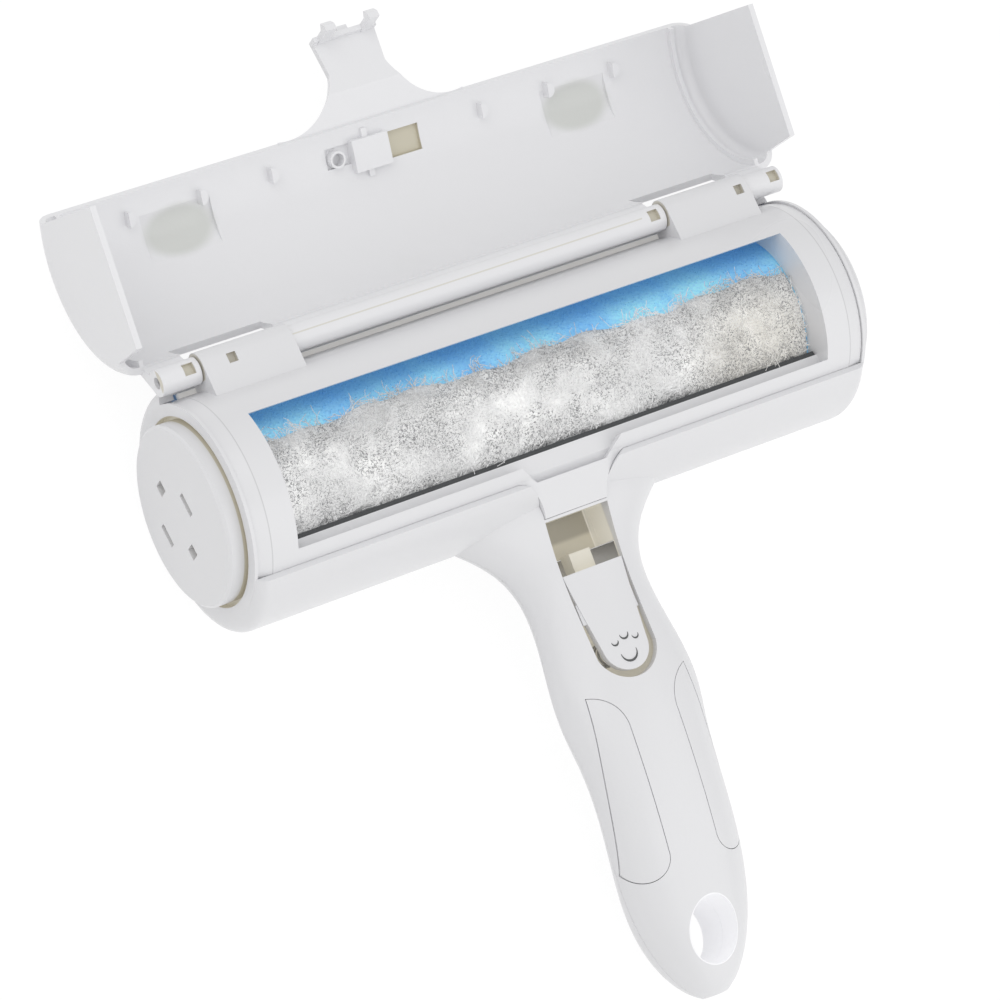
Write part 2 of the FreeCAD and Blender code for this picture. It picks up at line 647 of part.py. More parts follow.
def add_skirts(body):
    """Walls that drop from the window's ends and long sides towards the drum."""
    top = size("frame_radius - frame_wall") + 0.4
    low = size("velvet_radius") + 0.5
    drop = size("drum_drop")
    side = size("window_side") + 0.6
    top_z = math.sqrt(top ** 2 - side ** 2)
    low_z = math.sqrt(low ** 2 - side ** 2) - drop
    edges = [line((-side, low_z), (-side, top_z)), arc((-side, top_z), (0, top), (side, top_z)),
             line((side, top_z), (side, low_z)), arc((side, low_z), (0, low - drop), (-side, low_z))]
    for end, name in (("-window_half - skirt_wall", "left"), ("window_half", "right")):
        sketch = new_sketch(body, "YZ_Plane", "skirt_" + name + "_side", shift=end)
        draw_chain(sketch, edges)
        pad(body, sketch, "skirt_wall", "skirt_" + name)


def add_clips(body):
    """Four-sided clips that carry the hinge pin behind the frame."""
    for end, name in (("-clip_outer", "left"), ("clip_inner", "right")):
        knuckle = new_sketch(body, "YZ_Plane", "clip_%s_round" % name, shift=end)
        draw_circle(knuckle, "hinge_y", "hinge_z", "clip_radius")
        pad(body, knuckle, "clip_outer - clip_inner", "clip_%s_knuckle" % name)
        foot = new_sketch(body, "YZ_Plane", "clip_%s_side" % name, shift=end)
        draw_polygon(foot, [
            ("frame_radius * cos(28)", "frame_radius * sin(28)"), ("hinge_y + 0.6", "hinge_z + clip_radius"),
            ("hinge_y", "hinge_z - clip_radius"), ("frame_radius * cos(5) - 0.4", "frame_radius * sin(5)"),
            ("(frame_radius - 1) * cos(16)", "(frame_radius - 1) * sin(16)")])
        pad(body, foot, "clip_outer - clip_inner", "clip_%s_foot" % name)
    bore = new_sketch(body, "YZ_Plane", "pin_bore_round")
    draw_circle(bore, "hinge_y", "hinge_z", "pin_radius")
    pocket(body, bore, "pin_bore", symmetric=True)
    pits = new_sketch(body, "XY_Plane", "clip_pits_plan", shift="hinge_z + clip_radius - pit_depth")
    pit, middle = size("pit_width") / 2, size("hinge_y")
    for x in (-size("clip_outer") + 8.3, size("clip_outer") - 3.2):
        draw_box(pits, x - pit, x + pit, middle - pit, middle + pit)
    pocket(body, pits, "clip_pits", reverse=True)


def make_end_cap(name, side):
    """A cup-shaped cap, open towards the housing, with four snap windows in its face."""
    body = new_body(name)
    outer = new_sketch(body, "XY_Plane", name + "_section")
    seat = "end_half - recess_depth"
    face = ("%s" if side > 0 else "-(%s)")
    draw_polygon(outer, [
        (face % seat, "cap_radius - cap_wall"), (face % seat, "cap_radius"),
        (face % "cap_half - cap_round", "cap_radius"), (face % "cap_half", "cap_radius - cap_round"),
        (face % "cap_half", "0"), (face % "cap_half - cap_wall", "0"),
        (face % "cap_half - cap_wall", "cap_radius - cap_wall")])
    revolve(body, outer, name + "_turn")
    windows = new_sketch(body, "YZ_Plane", name + "_windows")
    for turn in range(4):
        angle = size("snap_angle") + 90 * turn
        long_side = size("snap_slot") if turn % 2 == 0 else size("snap_square")
        short_side = size("snap_slot_width") if turn % 2 == 0 else size("snap_square") * 0.9
        middle = at_angle(size("snap_radius"), angle)
        radial = at_angle(short_side / 2, angle)
        along = at_angle(long_side / 2, angle + 90)
        corners = [(middle[0] + a * radial[0] + b * along[0],
                    middle[1] + a * radial[1] + b * along[1] - size("drum_drop"))
                   for a, b in ((-1, -1), (1, -1), (1, 1), (-1, 1))]
        draw_chain(windows, [line(a, b) for a, b in zip(corners, corners[1:] + corners[:1])])
    pocket(body, windows, name + "_snaps", symmetric=True)
    return body


def make_drum():
    """The roller: a hollow core with webs, two velvet half sleeves and the axle."""
    core_radius = size("velvet_radius - velvet_thick")
    half = size("end_half - recess_depth - end_wall - drum_end_gap")
    drop = -size("drum_drop")
    core = cylinder_along_x(-half, half, core_radius, 0, drop)
    web = size("web_thick")
    bays = 3
    bay = (2 * half - web * (bays + 1)) / bays
    for number in range(bays):
        low = -half + web + number * (bay + web)
        hollow = cylinder_along_x(low, low + bay, core_radius - size("drum_wall"), 0, drop)
        core = core.cut(hollow.cut(cylinder_along_x(low, low + bay, size("hub_radius"), 0, drop)))
    core = core.cut(cylinder_along_x(-half, half, size("axle_radius"), 0, drop))
    plain_feature("drum_core", core)
    for name, start in (("velvet_front", 90), ("velvet_rear", -90)):
        body = new_body(name)
        sketch = new_sketch(body, "YZ_Plane", name + "_section", shift="-velvet_half")
        outer = size("velvet_radius")
        seam = math.degrees(size("velvet_joint") / 2 / outer)
        first, middle, last = start + seam, start + 90, start + 180 - seam
        outside = [at_angle(outer, angle) for angle in (first, middle, last)]
        inside = [at_angle(core_radius, angle) for angle in (last, middle, first)]
        shifted = [[(y, z + drop) for y, z in points] for points in (outside, inside)]
        draw_chain(sketch, [arc(*shifted[0]), line(shifted[0][2], shifted[1][0]), arc(*shifted[1]),
                            line(shifted[1][2], shifted[0][0])])
        pad(body, sketch, "2 * velvet_half", name + "_pile")
    axle = doc.addObject("Part::Cylinder", "drum_axle")
    axle.Label = "drum_axle"
    axle.setExpression("Radius", "Dims.axle_radius")
    axle.setExpression("Height", bound("2 * (cap_half - cap_wall - axle_end_gap)"))
    axle.Placement = FreeCAD.Placement(V(-size("cap_half - cap_wall - axle_end_gap"), 0, drop),
                                       FreeCAD.Rotation(V(0, 1, 0), 90))


def make_bearing(name, side):
    """A plain bush pressed into an end wall."""
    body = new_body(name)
    start = "end_half - recess_depth - end_wall" if side > 0 else "-(end_half - recess_depth)"
    ring = new_sketch(body, "YZ_Plane", name + "_ring", shift=start)
    draw_circle(ring, "0", "-drum_drop", "bush_radius")
    draw_circle(ring, "0", "-drum_drop", "axle_radius + running_gap")
    pad(body, ring, "end_wall", name + "_bush")


def make_wiper(name, side):
    """A rubber blade along one edge of the bottom slot, just clear of the velvet."""
    body = new_body(name)
    sign = "" if side > 0 else "-"
    blade = new_sketch(body, "YZ_Plane", name + "_side")
    draw_polygon(blade, [
        (sign + "slot_half_width", "-tub_floor"), (sign + "slot_half_width", "-tub_floor + wiper_root"),
        (sign + "(slot_half_width - wiper_reach)", "-tub_floor + 0.4"),
        (sign + "(slot_half_width - wiper_reach)", "-tub_floor + 0.4 - wiper_tip")])
    pad(body, blade, "2 * wiper_half", name + "_blade", symmetric=True)


def make_window_seal():
    body = new_body("window_seal")
    strip = new_sketch(body, "YZ_Plane", "seal_side")
    edge = "-window_side + ledge_width"
    draw_polygon(strip, [(edge, "ledge_top - ledge_wall - seal_drop"), (edge, "ledge_top - 0.2"),
                         (edge + " + seal_width", "ledge_top - 0.6"),
                         (edge + " + seal_width * 0.6", "ledge_top - ledge_wall - seal_drop")])
    pad(body, strip, "2 * (window_half - 0.4)", "seal_strip", symmetric=True)


def make_fur_mat():
    """The pad of caught fur that lies on the velvet inside the window."""
    low = size("velvet_radius + mat_gap")
    high = low + size("mat_thick")
    drop = size("drum_drop")
    front = -size("mat_front")
    back = size("mat_back")

    def on_arc(radius, y):
        return y, math.sqrt(radius ** 2 - y ** 2) - drop

    edges = [arc(on_arc(low, front), on_arc(low, 0), on_arc(low, back)),
             line(on_arc(low, back), on_arc(high - 0.8, back + 0.2)),
             arc(on_arc(high - 0.8, back + 0.2), on_arc(high, 0), on_arc(high - 0.8, front - 0.2)),
             line(on_arc(high - 0.8, front - 0.2), on_arc(low, front))]
    body = new_body("fur_mat")
    section = new_sketch(body, "YZ_Plane", "mat_side")
    draw_chain(section, edges)
    pad(body, section, "2 * (window_half - 0.5)", "mat", symmetric=True)


def make_hinge_pin():
    pin = doc.addObject("Part::Cylinder", "hinge_pin")
    pin.Label = "hinge_pin"
    pin.setExpression("Radius", "Dims.pin_radius")
    pin.setExpression("Height", bound("2 * (ear_outer - 1)"))
    pin.Placement = FreeCAD.Placement(V(-size("ear_outer - 1"), size("hinge_y"), size("hinge_z")),
                                      FreeCAD.Rotation(V(0, 1, 0), 90))


def lid_outline():
    """What is kept of the lid's hollow drum, seen from the side: shell above, cheeks below."""
    reach = 1.6 * size("lid_inner")
    start, end = size("lid_start"), size("lid_end")
    shell_end = at_angle(size("lid_inner") - 2.4, end)
    shell_start = at_angle(size("lid_inner") - 2.4, start)
    far_corners = [at_angle(reach, angle) for angle in (start, 60, 100, end)]
    return far_corners + [shell_end, (-size("cheek_front_y"), -size("cheek_front_z")),
                          (size("cheek_rear_y"), -size("cheek_rear_z")), shell_start]


def tongue_flank(hand, root_y):
    """What is cut off beside the tongue: its flank sweeps from the lid's free edge in to a slim neck."""
    neck = hand * size("tongue_half")
    wide = hand * size("tongue_half + tongue_flare")
    end = hand * size("tongue_end_half")
    neck_y = root_y - 12
    end_y = -size("tongue_end_y")
    clear = hand * size("tongue_half + tongue_flare + 2")
    bend = (neck + hand * size("tongue_flare") * 0.23, root_y - 4.6)
    return [arc((wide, root_y), bend, (neck, neck_y)), line((neck, neck_y), (end, end_y)),
            line((end, end_y), (end, end_y - 3)), line((end, end_y - 3), (clear, end_y - 3)),
            line((clear, end_y - 3), (clear, root_y)), line((clear, root_y), (wide, root_y))]


def tongue_section():
    """Side view of the tongue that reaches over the latch recess when the lid is shut."""
    wall = size("tongue_wall")
    root = at_angle(size("lid_inner + lid_wall"), 131)
    under = at_angle(size("lid_inner") + 0.4, 131)
    end_y = -size("tongue_end_y")
    top = size("tongue_top")
    knee_y = -size("lip_end_y") + 2
    return [root, (knee_y, top + 1.6), (end_y, top), (end_y, top - wall), (knee_y, top + 1.6 - wall), under]


def make_lid_shell():
    """The lid: a rounded hollow drum cut to a shell with two cheeks, then barrel, ears and tongue."""
    body = new_body("lid_shell")
    outer = new_sketch(body, "XY_Plane", "lid_outer_section")
    draw_chain(outer, round_profile(size("lid_half"), size("lid_inner + lid_wall"), size("lid_round")))
    revolve(body, outer, "lid_outer")
    inner = new_sketch(body, "XY_Plane", "lid_inner_section")
    draw_chain(inner, round_profile(size("lid_half - cheek_wall"), size("lid_inner"),
                                    size("lid_round - lid_wall")))
    revolve(body, inner, "lid_inner_turn", kind="PartDesign::Groove")
    ribs = new_sketch(body, "XY_Plane", "lid_ribs_section")
    for side in ("", "-"):
        near = side + "(end_half + rib_gap)"
        far = side + "(end_half + rib_gap + rib_width)"
        low, high = "lid_inner - rib_height", "lid_inner + lid_wall / 4"
        draw_polygon(ribs, [(near, low), (far, low), (far, high), (near, high)])
    revolve(body, ribs, "lid_ribs")
    keep = new_sketch(body, "YZ_Plane", "lid_side")
    far = 3 * size("lid_inner")
    frame_corners = [(-far, -far), (far, -far), (far, far), (-far, far)]
    draw_chain(keep, [line(a, b) for a, b in zip(frame_corners, frame_corners[1:] + frame_corners[:1])])
    corners = lid_outline()
    draw_chain(keep, [line(a, b) for a, b in zip(corners, corners[1:] + corners[:1])])
    pocket(body, keep, "lid_trim", symmetric=True)
    add_lid_hinge(body)
    add_tongue(body)
    add_lid_fittings(body)
    doc.recompute()
    return body


def wall_sketch(body, name, turn, radius):
    """A sketch square to the lid's wall, at an angle from +Y and a radius from the head's axis."""
    sketch = new_sketch(body, "XY_Plane", name)
    across, up = at_angle(radius, turn)
    sketch.AttachmentOffset = FreeCAD.Placement(V(0, across, up), FreeCAD.Rotation(V(1, 0, 0), turn - 90))
    return sketch


def draw_box(sketch, left, right, low, high):
    corners = [(left, low), (right, low), (right, high), (left, high)]
    draw_chain(sketch, [line(a, b) for a, b in zip(corners, corners[1:] + corners[:1])])


def add_lid_fittings(body):
    """Finger scoops, half-round nubs, and the block, ring and blind pane behind the latch."""
    inner = size("lid_inner")
    scoop_radius, scoop_turn = size("scoop_radius"), size("scoop_turn")
    scoop_centre = at_angle(inner + size("scoop_depth") - scoop_radius, scoop_turn)
    for start, name in (("-scoop_start - scoop_length", "left"), ("scoop_start", "right")):
        scoop = new_sketch(body, "YZ_Plane", "scoop_%s_round" % name, shift=start)
        centre = V(scoop_centre[0], scoop_centre[1], 0)
        scoop.addGeometry(Part.Circle(centre, V(0, 0, 1), scoop_radius))
        pocket(body, scoop, "scoop_" + name, reverse=True, length="scoop_length")

    turn = size("fitting_turn")
    side = size("hollow_side")
    hollow = wall_sketch(body, "hollow_plan", turn + 2, inner + size("hollow_depth"))
    draw_box(hollow, -size("hollow_left"), -size("block_left"), -side, side)
    pocket(body, hollow, "hollow", length="hollow_depth + 2")
    pane = wall_sketch(body, "pane_plan", turn, inner + size("pane_depth"))
    draw_box(pane, size("pane_left"), size("pane_right"), -size("pane_side"), size("pane_side"))
    pocket(body, pane, "pane", length="pane_depth + 2")

    block = wall_sketch(body, "block_plan", turn, inner - size("block_height"))
    draw_box(block, -size("block_left"), size("block_right"), -size("block_side"), size("block_side"))
    pad(body, block, "block_height + lid_wall / 2", "block")
    key = wall_sketch(body, "key_plan", turn, inner - size("block_height") * 0.6)
    draw_box(key, -size("block_left") * 0.55, -size("block_left") * 0.37, -size("block_side") - 2.4,
             size("block_side") + 2)
    pad(body, key, "block_height * 0.6 + lid_wall / 2", "key")
    ring = wall_sketch(body, "ring_plan", turn + 1.2, inner - 2)
    for radius in ("ring_outer", "ring_inner"):
        draw_circle(ring, "-ring_x", "0", radius)
    pad(body, ring, "2 + lid_wall / 2", "ring")

    nubs = wall_sketch(body, "nub_plan", size("nub_turn"), inner - size("nub_height"))
    bend = size("nub_radius")
    for step in range(3):
        for hand in (-1, 1):
            x = hand * (size("nub_first") + step * size("nub_step")) - bend / 2
            diagonal = bend * math.sqrt(0.5)
            draw_chain(nubs, [line((x, -bend), (x, bend)),
                              arc((x, bend), (x + diagonal, diagonal), (x + bend, 0)),
                              arc((x + bend, 0), (x + diagonal, -diagonal), (x, -bend))])
    pad(body, nubs, "nub_height + lid_wall / 2", "nubs")


def add_lid_hinge(body):
    """Barrel in the middle, ears at the ends, and room for the clips between them."""
    spans = (("-clip_inner + hinge_gap", "2 * (clip_inner - hinge_gap)", "barrel"),
             ("-ear_outer", "ear_outer - clip_outer - hinge_gap", "ear_left"),
             ("clip_outer + hinge_gap", "ear_outer - clip_outer - hinge_gap", "ear_right"))
    shell_top = at_angle(size("lid_inner + lid_wall") - 0.3, size("lid_start") + 5)
    shell_low = at_angle(size("lid_inner") + 0.3, size("lid_start") + 1)
    for start, length, name in spans:
        roll = new_sketch(body, "YZ_Plane", name + "_round", shift=start)
        draw_circle(roll, "hinge_y", "hinge_z", "barrel_radius")
        pad(body, roll, length, name)
        web = new_sketch(body, "YZ_Plane", name + "_web_side", shift=start)
        hinge = (size("hinge_y"), size("hinge_z"))
        reach = size("barrel_radius")
        web_corners = [shell_top, (hinge[0] + reach * 0.5, hinge[1] + reach * 0.86),
                       (hinge[0] - reach * 0.4, hinge[1] + reach * 0.1), shell_low]
        draw_chain(web, [line(a, b) for a, b in zip(web_corners, web_corners[1:] + web_corners[:1])])
        pad(body, web, length, name + "_web")
    bore = new_sketch(body, "YZ_Plane", "lid_bore_round")
    draw_circle(bore, "hinge_y", "hinge_z", "pin_radius + running_gap")
    pocket(body, bore, "lid_bore", symmetric=True)
    pits = new_sketch(body, "XY_Plane", "lid_pits_plan", shift="hinge_z - barrel_radius + pit_depth")
    pit, middle = size("pit_width") * 0.6, size("hinge_y")
    for x in (size("clip_inner") - 3.7, -size("ear_outer") + 8, size("ear_outer") - 2.4):
        draw_box(pits, x - pit, x + pit, middle - pit, middle + pit)
    pocket(body, pits, "lid_pits")
    low, high = size("lid_inner") - 4, size("lid_inner") + 6
    first, last = size("lid_start") - 3, size("notch_end")
    clip_corners = [at_angle(low, first), at_angle(high, first), at_angle(high, last), at_angle(low, last)]
    for start, name in (("-clip_outer - hinge_gap", "left"), ("clip_inner - hinge_gap", "right")):
        room = new_sketch(body, "YZ_Plane", "clip_room_%s_side" % name, shift=start)
        draw_chain(room, [line(a, b) for a, b in zip(clip_corners, clip_corners[1:] + clip_corners[:1])])
        pocket(body, room, "clip_room_" + name, reverse=True,
               length="clip_outer - clip_inner + 2 * hinge_gap")


def add_tongue(body):
    """The flared tongue, its end flange, two hooks for the latch and a knob between them."""
    side = new_sketch(body, "YZ_Plane", "tongue_side")
    corners = tongue_section()
    draw_chain(side, [line(a, b) for a, b in zip(corners, corners[1:] + corners[:1])])
    pad(body, side, "2 * (tongue_half + tongue_flare)", "tongue", symmetric=True)
    flanks = new_sketch(body, "XY_Plane", "tongue_plan")
    root_y = at_angle(size("lid_inner + lid_wall"), size("lid_end"))[0] - 0.05
    for hand in (-1, 1):
        draw_chain(flanks, tongue_flank(hand, root_y))
    pocket(body, flanks, "tongue_flanks", symmetric=True)
    half = size("tongue_end_half")
    end_y = -size("tongue_end_y")
    top = size("tongue_top")
    hooks = (("left", "-hook_spread - hook_width / 2"), ("right", "hook_spread - hook_width / 2"))
    barb = size("barb_reach")
    wall = size("hook_wall")
    drop = top - size("hook_drop")
    hook_corners = [(end_y + wall, top - 0.5), (end_y, top - 0.5), (end_y, drop + 2 * barb),
                    (end_y - barb, drop + barb), (end_y, drop), (end_y + wall, drop)]
    for name, start in hooks:
        hook = new_sketch(body, "YZ_Plane", "hook_%s_side" % name, shift=start)
        draw_chain(hook, [line(a, b) for a, b in zip(hook_corners, hook_corners[1:] + hook_corners[:1])])
        pad(body, hook, "hook_width", "hook_" + name)
    flange = new_sketch(body, "YZ_Plane", "flange_side")
    draw_box(flange, end_y, end_y + 1.4, top - 3.4, top - 0.3)
    pad(body, flange, "2 * tongue_end_half", "flange", symmetric=True)
    knob = new_sketch(body, "YZ_Plane", "knob_side")
    draw_box(knob, end_y - barb, end_y + 0.4, top - 2.8, top - 0.8)
    pad(body, knob, "hook_width", "knob", symmetric=True)


def button_underside():
    """Height of the face that the spring pushes on."""
    inner = handle_loft(size("button_wall"), STATIONS[1:6])
    return surface_height(inner, size("spring_y")) - size("button_sink")


def spring_floor():
    """Height of the handle back's pad under the spring."""
    inner = handle_loft(size("handle_wall"), STATIONS[2:6])
    probe = Part.makeLine(V(0, -size("spring_y"), -FAR), V(0, -size("spring_y"), FAR))
    return probe.common(inner).BoundBox.ZMin + size("spring_seat")


def make_spring():
    """The coil spring that pushes the button's lower end back up."""
    wire = size("spring_wire")
    low = spring_floor() + wire + 0.05
    high = button_underside() - wire - 0.15
    turns = size("spring_turns")
    helix = Part.makeHelix((high - low) / turns, high - low, size("spring_radius"))
    start = V(size("spring_radius"), 0, 0)
    ring = Part.Wire(Part.makeCircle(wire, start, V(0, 1, 0)))
    coil = Part.Wire(helix.Edges).makePipeShell([ring], True, True)
    coil.translate(V(0, -size("spring_y"), low))
    return plain_feature("button_spring", coil)


def make_button():
    """The rocking button: a curved plate with a hub, a latch block and a spring post."""
    plan = prism_z(recess_outline(size("button_gap"), size("button_top_y"), size("button_taper"),
                                  size("button_end_gap")), -10, FAR)
    sunk = V(0, 0, -size("button_sink"))
    plate = outer_handle.cut(handle_loft(size("button_wall"), STATIONS[1:6])).common(plan)
    plate = plate.common(upper_block)
    plate.translate(sunk)
    centre_y, centre_z = -size("rocker_y"), size("rocker_z")
    reach = size("recess_half - button_gap - 0.6")
    hub = cylinder_along_x(-reach, reach, size("rocker_radius"), centre_y, centre_z)
    inner = outer_handle.copy()
    inner.translate(sunk + V(0, 0, -0.4))
    ribs = []
    for low in (-reach, reach - 1.6):
        radius = size("rocker_radius")
        rib = Part.makeBox(1.6, 2 * radius, 20, V(low, centre_y - radius, centre_z))
        ribs.append(rib.common(inner))
    latch_low = size("recess_floor") * 0.5
    latch_half = size("latch_half")
    latch_start = V(-latch_half, -size("button_top_y") - 3, latch_low)
    latch = Part.makeBox(2 * latch_half, size("latch_reach") + 3, 5.2, latch_start)
    neck = Part.makeBox(2 * latch_half, 3, 20, latch_start)
    post = Part.makeCylinder(size("spring_radius - spring_wire") - 0.3, 20,
                             V(0, -size("spring_y"), button_underside() - 3)).common(inner)
    button = plate.fuse([hub, latch, neck.common(inner), post] + ribs)
    button = button.cut(cylinder_along_x(-30, 30, size("pin_radius + running_gap"), centre_y, centre_z))
    return plain_feature("release_button", button.removeSplitter())


def make_button_pin():
    pin = doc.addObject("Part::Cylinder", "button_pin")
    pin.Label = "button_pin"
    pin.setExpression("Radius", "Dims.pin_radius")
    pin.setExpression("Height", bound("2 * rocker_pin_half"))
    pin.Placement = FreeCAD.Placement(V(-size("rocker_pin_half"), -size("rocker_y"), size("rocker_z")),
                                      FreeCAD.Rotation(V(0, 1, 0), 90))


make_lower_housing()
make_window_frame()
make_handle_back()
make_grips()
make_screws()
make_end_cap("end_cap_left", -1)
make_end_cap("end_cap_right", 1)
make_drum()
make_bearing("bearing_left", -1)
make_bearing("bearing_right", 1)
make_wiper("wiper_front", -1)
make_wiper("wiper_rear", 1)
make_window_seal()
make_fur_mat()
make_hinge_pin()
make_lid_shell()
make_button()
make_button_pin()
make_spring()
doc.recompute()

NODES = ["lower_housing", "window_frame", "handle_back", "grip_left", "grip_right", "housing_screws",
         "end_cap_left", "end_cap_right", "drum_core", "velvet_front", "velvet_rear", "drum_axle",
         "bearing_left", "bearing_right", "wiper_front", "wiper_rear", "window_seal", "fur_mat", "hinge_pin",
         "lid_shell", "release_button", "button_pin", "button_spring"]


def lowest(shape, tilt):
    """The lowest height of a shape that is tilted about the roller's axis."""
    turned = shape.copy()
    turned.rotate(V(0, 0, 0), V(1, 0, 0), tilt)
    return turned.BoundBox.ZMin


def resting_tilt(back):
    """The tilt at which the handle's tip and the drum touch one level."""
    low, high = -10.0, 20.0
    drop = size("drum_drop")
    for _ in range(30):
        tilt = (low + high) / 2
        drum_bottom = -drop * math.cos(math.radians(tilt)) - size("velvet_radius")
        if lowest(back, tilt) > drum_bottom:
            low = tilt
        else:
            high = tilt
    return tilt


def seat_nodes():
    """Swing the lid open and set every node down as the brush lies."""
    hinge = V(0, size("hinge_y"), size("hinge_z"))
    swing = FreeCAD.Placement(V(0, 0, 0), FreeCAD.Rotation(V(1, 0, 0), -size("open_angle")), hinge)
    tilt = resting_tilt(doc.getObject("handle_back").Shape)
    turn = FreeCAD.Placement(V(0, 0, 0), FreeCAD.Rotation(V(1, 0, 0), tilt))
    for name in NODES:
        node = doc.getObject(name)
        if name == "lid_shell":
            node.Placement = swing.multiply(node.Placement)
        node.Placement = turn.multiply(node.Placement)
    doc.recompute()
    box = FreeCAD.BoundBox()
    for name in NODES:
        box.add(doc.getObject(name).Shape.optimalBoundingBox(True, False))
    shift = FreeCAD.Placement(V(0, -box.Center.y, -box.ZMin), FreeCAD.Rotation())
    for name in NODES:
        node = doc.getObject(name)
        node.Placement = shift.multiply(node.Placement)
    doc.recompute()
    move = shift.multiply(turn)
    print("tilt", round(tilt, 4), "head centre", move.Base)
    print("hinge", move.multVec(hinge))
    print("drum axis", move.multVec(V(0, 0, -size("drum_drop"))))
    print("rocker", move.multVec(V(0, -size("rocker_y"), size("rocker_z"))))
    print("hang hole", move.multVec(V(0, -size("eye_y"), size("eye_z"))))


def check_and_export():
    for item in doc.Objects:
        if "Invalid" in item.State or "Error" in item.State:
            raise ValueError(item.Label + " failed: " + ", ".join(item.State))
    for name in NODES:
        shape = doc.getObject(name).Shape
        if shape.isNull() or not shape.isValid():
            raise ValueError(name + " has no valid shape")
        print(name, len(shape.Solids), round(shape.Volume))
    for name in NODES:
        doc.getObject(name).Shape.exportStep("parts/" + name + ".step")


seat_nodes()
check_and_export()
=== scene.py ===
"""Looks of a pet hair brush that cleans itself: a velvet drum in a white housing, with its lid open."""

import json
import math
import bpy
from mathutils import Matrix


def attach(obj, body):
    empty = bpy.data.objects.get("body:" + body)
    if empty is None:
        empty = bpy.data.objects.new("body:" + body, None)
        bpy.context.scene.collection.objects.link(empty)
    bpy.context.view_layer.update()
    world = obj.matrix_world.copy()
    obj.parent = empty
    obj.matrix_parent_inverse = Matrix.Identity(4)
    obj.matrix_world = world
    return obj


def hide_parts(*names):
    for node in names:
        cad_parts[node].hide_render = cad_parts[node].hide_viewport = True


bl_info = {
    "name": "Pet Hair Brush",
    "version": (1, 0, 0),
    "blender": (4, 5, 0),
    "location": "View3D > Sidebar > Hair Brush",
    "description": "Dresses the brush's frame with finishes, caught fur, a paw mark and a studio",
    "category": "Object",
}

import bmesh
import bpy
from bpy.props import FloatProperty, FloatVectorProperty, IntProperty, PointerProperty
from mathutils import Matrix, Vector

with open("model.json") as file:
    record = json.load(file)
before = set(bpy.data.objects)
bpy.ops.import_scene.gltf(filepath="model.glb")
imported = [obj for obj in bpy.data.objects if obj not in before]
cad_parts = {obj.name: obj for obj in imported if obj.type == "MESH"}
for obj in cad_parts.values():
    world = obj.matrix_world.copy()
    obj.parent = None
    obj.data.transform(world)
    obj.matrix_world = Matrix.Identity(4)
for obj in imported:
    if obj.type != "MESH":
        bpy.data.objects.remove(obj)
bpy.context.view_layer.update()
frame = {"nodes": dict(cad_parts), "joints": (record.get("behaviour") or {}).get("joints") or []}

MM = 0.001
SEED = 7

# The head frame, in which the brush was measured: X along the roller, Z out of the window.
HINGE = (33.2, 7.4)
DRUM_IN_HEAD = -3.8
OPEN_ANGLE = 192
LID_INNER = 28.9


def joint_place(name):
    """Where a joint's axis lies, in metres."""
    return Vector([joint for joint in frame["joints"] if joint["name"] == name][0]["pos_m"])


def head_matrix():
    """Head frame in millimetres to the row frame in metres."""
    hinge, drum = joint_place("lid_hinge"), joint_place("drum_rock")
    along = hinge - drum
    tilt = math.atan2(along.z, along.y) - math.atan2(HINGE[1] - DRUM_IN_HEAD, HINGE[0])
    turn = Matrix.Rotation(tilt, 4, "X")
    return Matrix.Translation(drum) @ turn @ Matrix.Scale(MM, 4) @ Matrix.Translation((0, 0, -DRUM_IN_HEAD))


HEAD = head_matrix()


def at_head(x, y, z):
    """A point given in head millimetres, in the row frame."""
    return HEAD @ Vector((x, y, z))


def at_lid(x, radius, angle):
    """A point of the open lid, from its radius and angle about the head's axis when shut, in degrees."""
    y = radius * math.cos(math.radians(angle)) - HINGE[0]
    z = radius * math.sin(math.radians(angle)) - HINGE[1]
    turn = -math.radians(OPEN_ANGLE)
    return at_head(x, HINGE[0] + y * math.cos(turn) - z * math.sin(turn),
                   HINGE[1] + y * math.sin(turn) + z * math.cos(turn))


class Value:
    """A shader socket that takes part in Python sums."""

    def __init__(self, shader, socket):
        self.shader = shader
        self.socket = socket

    def _math(self, operation, other=None, swap=False):
        first, second = (other, self) if swap else (self, other)
        inputs = [first] if second is None else [first, second]
        return self.shader.node("ShaderNodeMath", {"operation": operation}, inputs)

    def __add__(self, other):
        return self._math("ADD", other)

    __radd__ = __add__

    def __sub__(self, other):
        return self._math("SUBTRACT", other)

    def __rsub__(self, other):
        return self._math("SUBTRACT", other, swap=True)

    def __mul__(self, other):
        return self._math("MULTIPLY", other)

    __rmul__ = __mul__

    def __truediv__(self, other):
        return self._math("DIVIDE", other)

    def __rtruediv__(self, other):
        return self._math("DIVIDE", other, swap=True)

    def above(self, edge, width):
        """0 below an edge and 1 above it, with a soft step."""
        return self.shader.ramp(self, edge - width / 2, edge + width / 2)

    def between(self, low, high, soft=0.0002):
        """1 from one limit to another, and 0 beyond them."""
        return self.above(low, soft) * (1 - self.above(high, soft))

    def size(self):
        return self._math("ABSOLUTE")


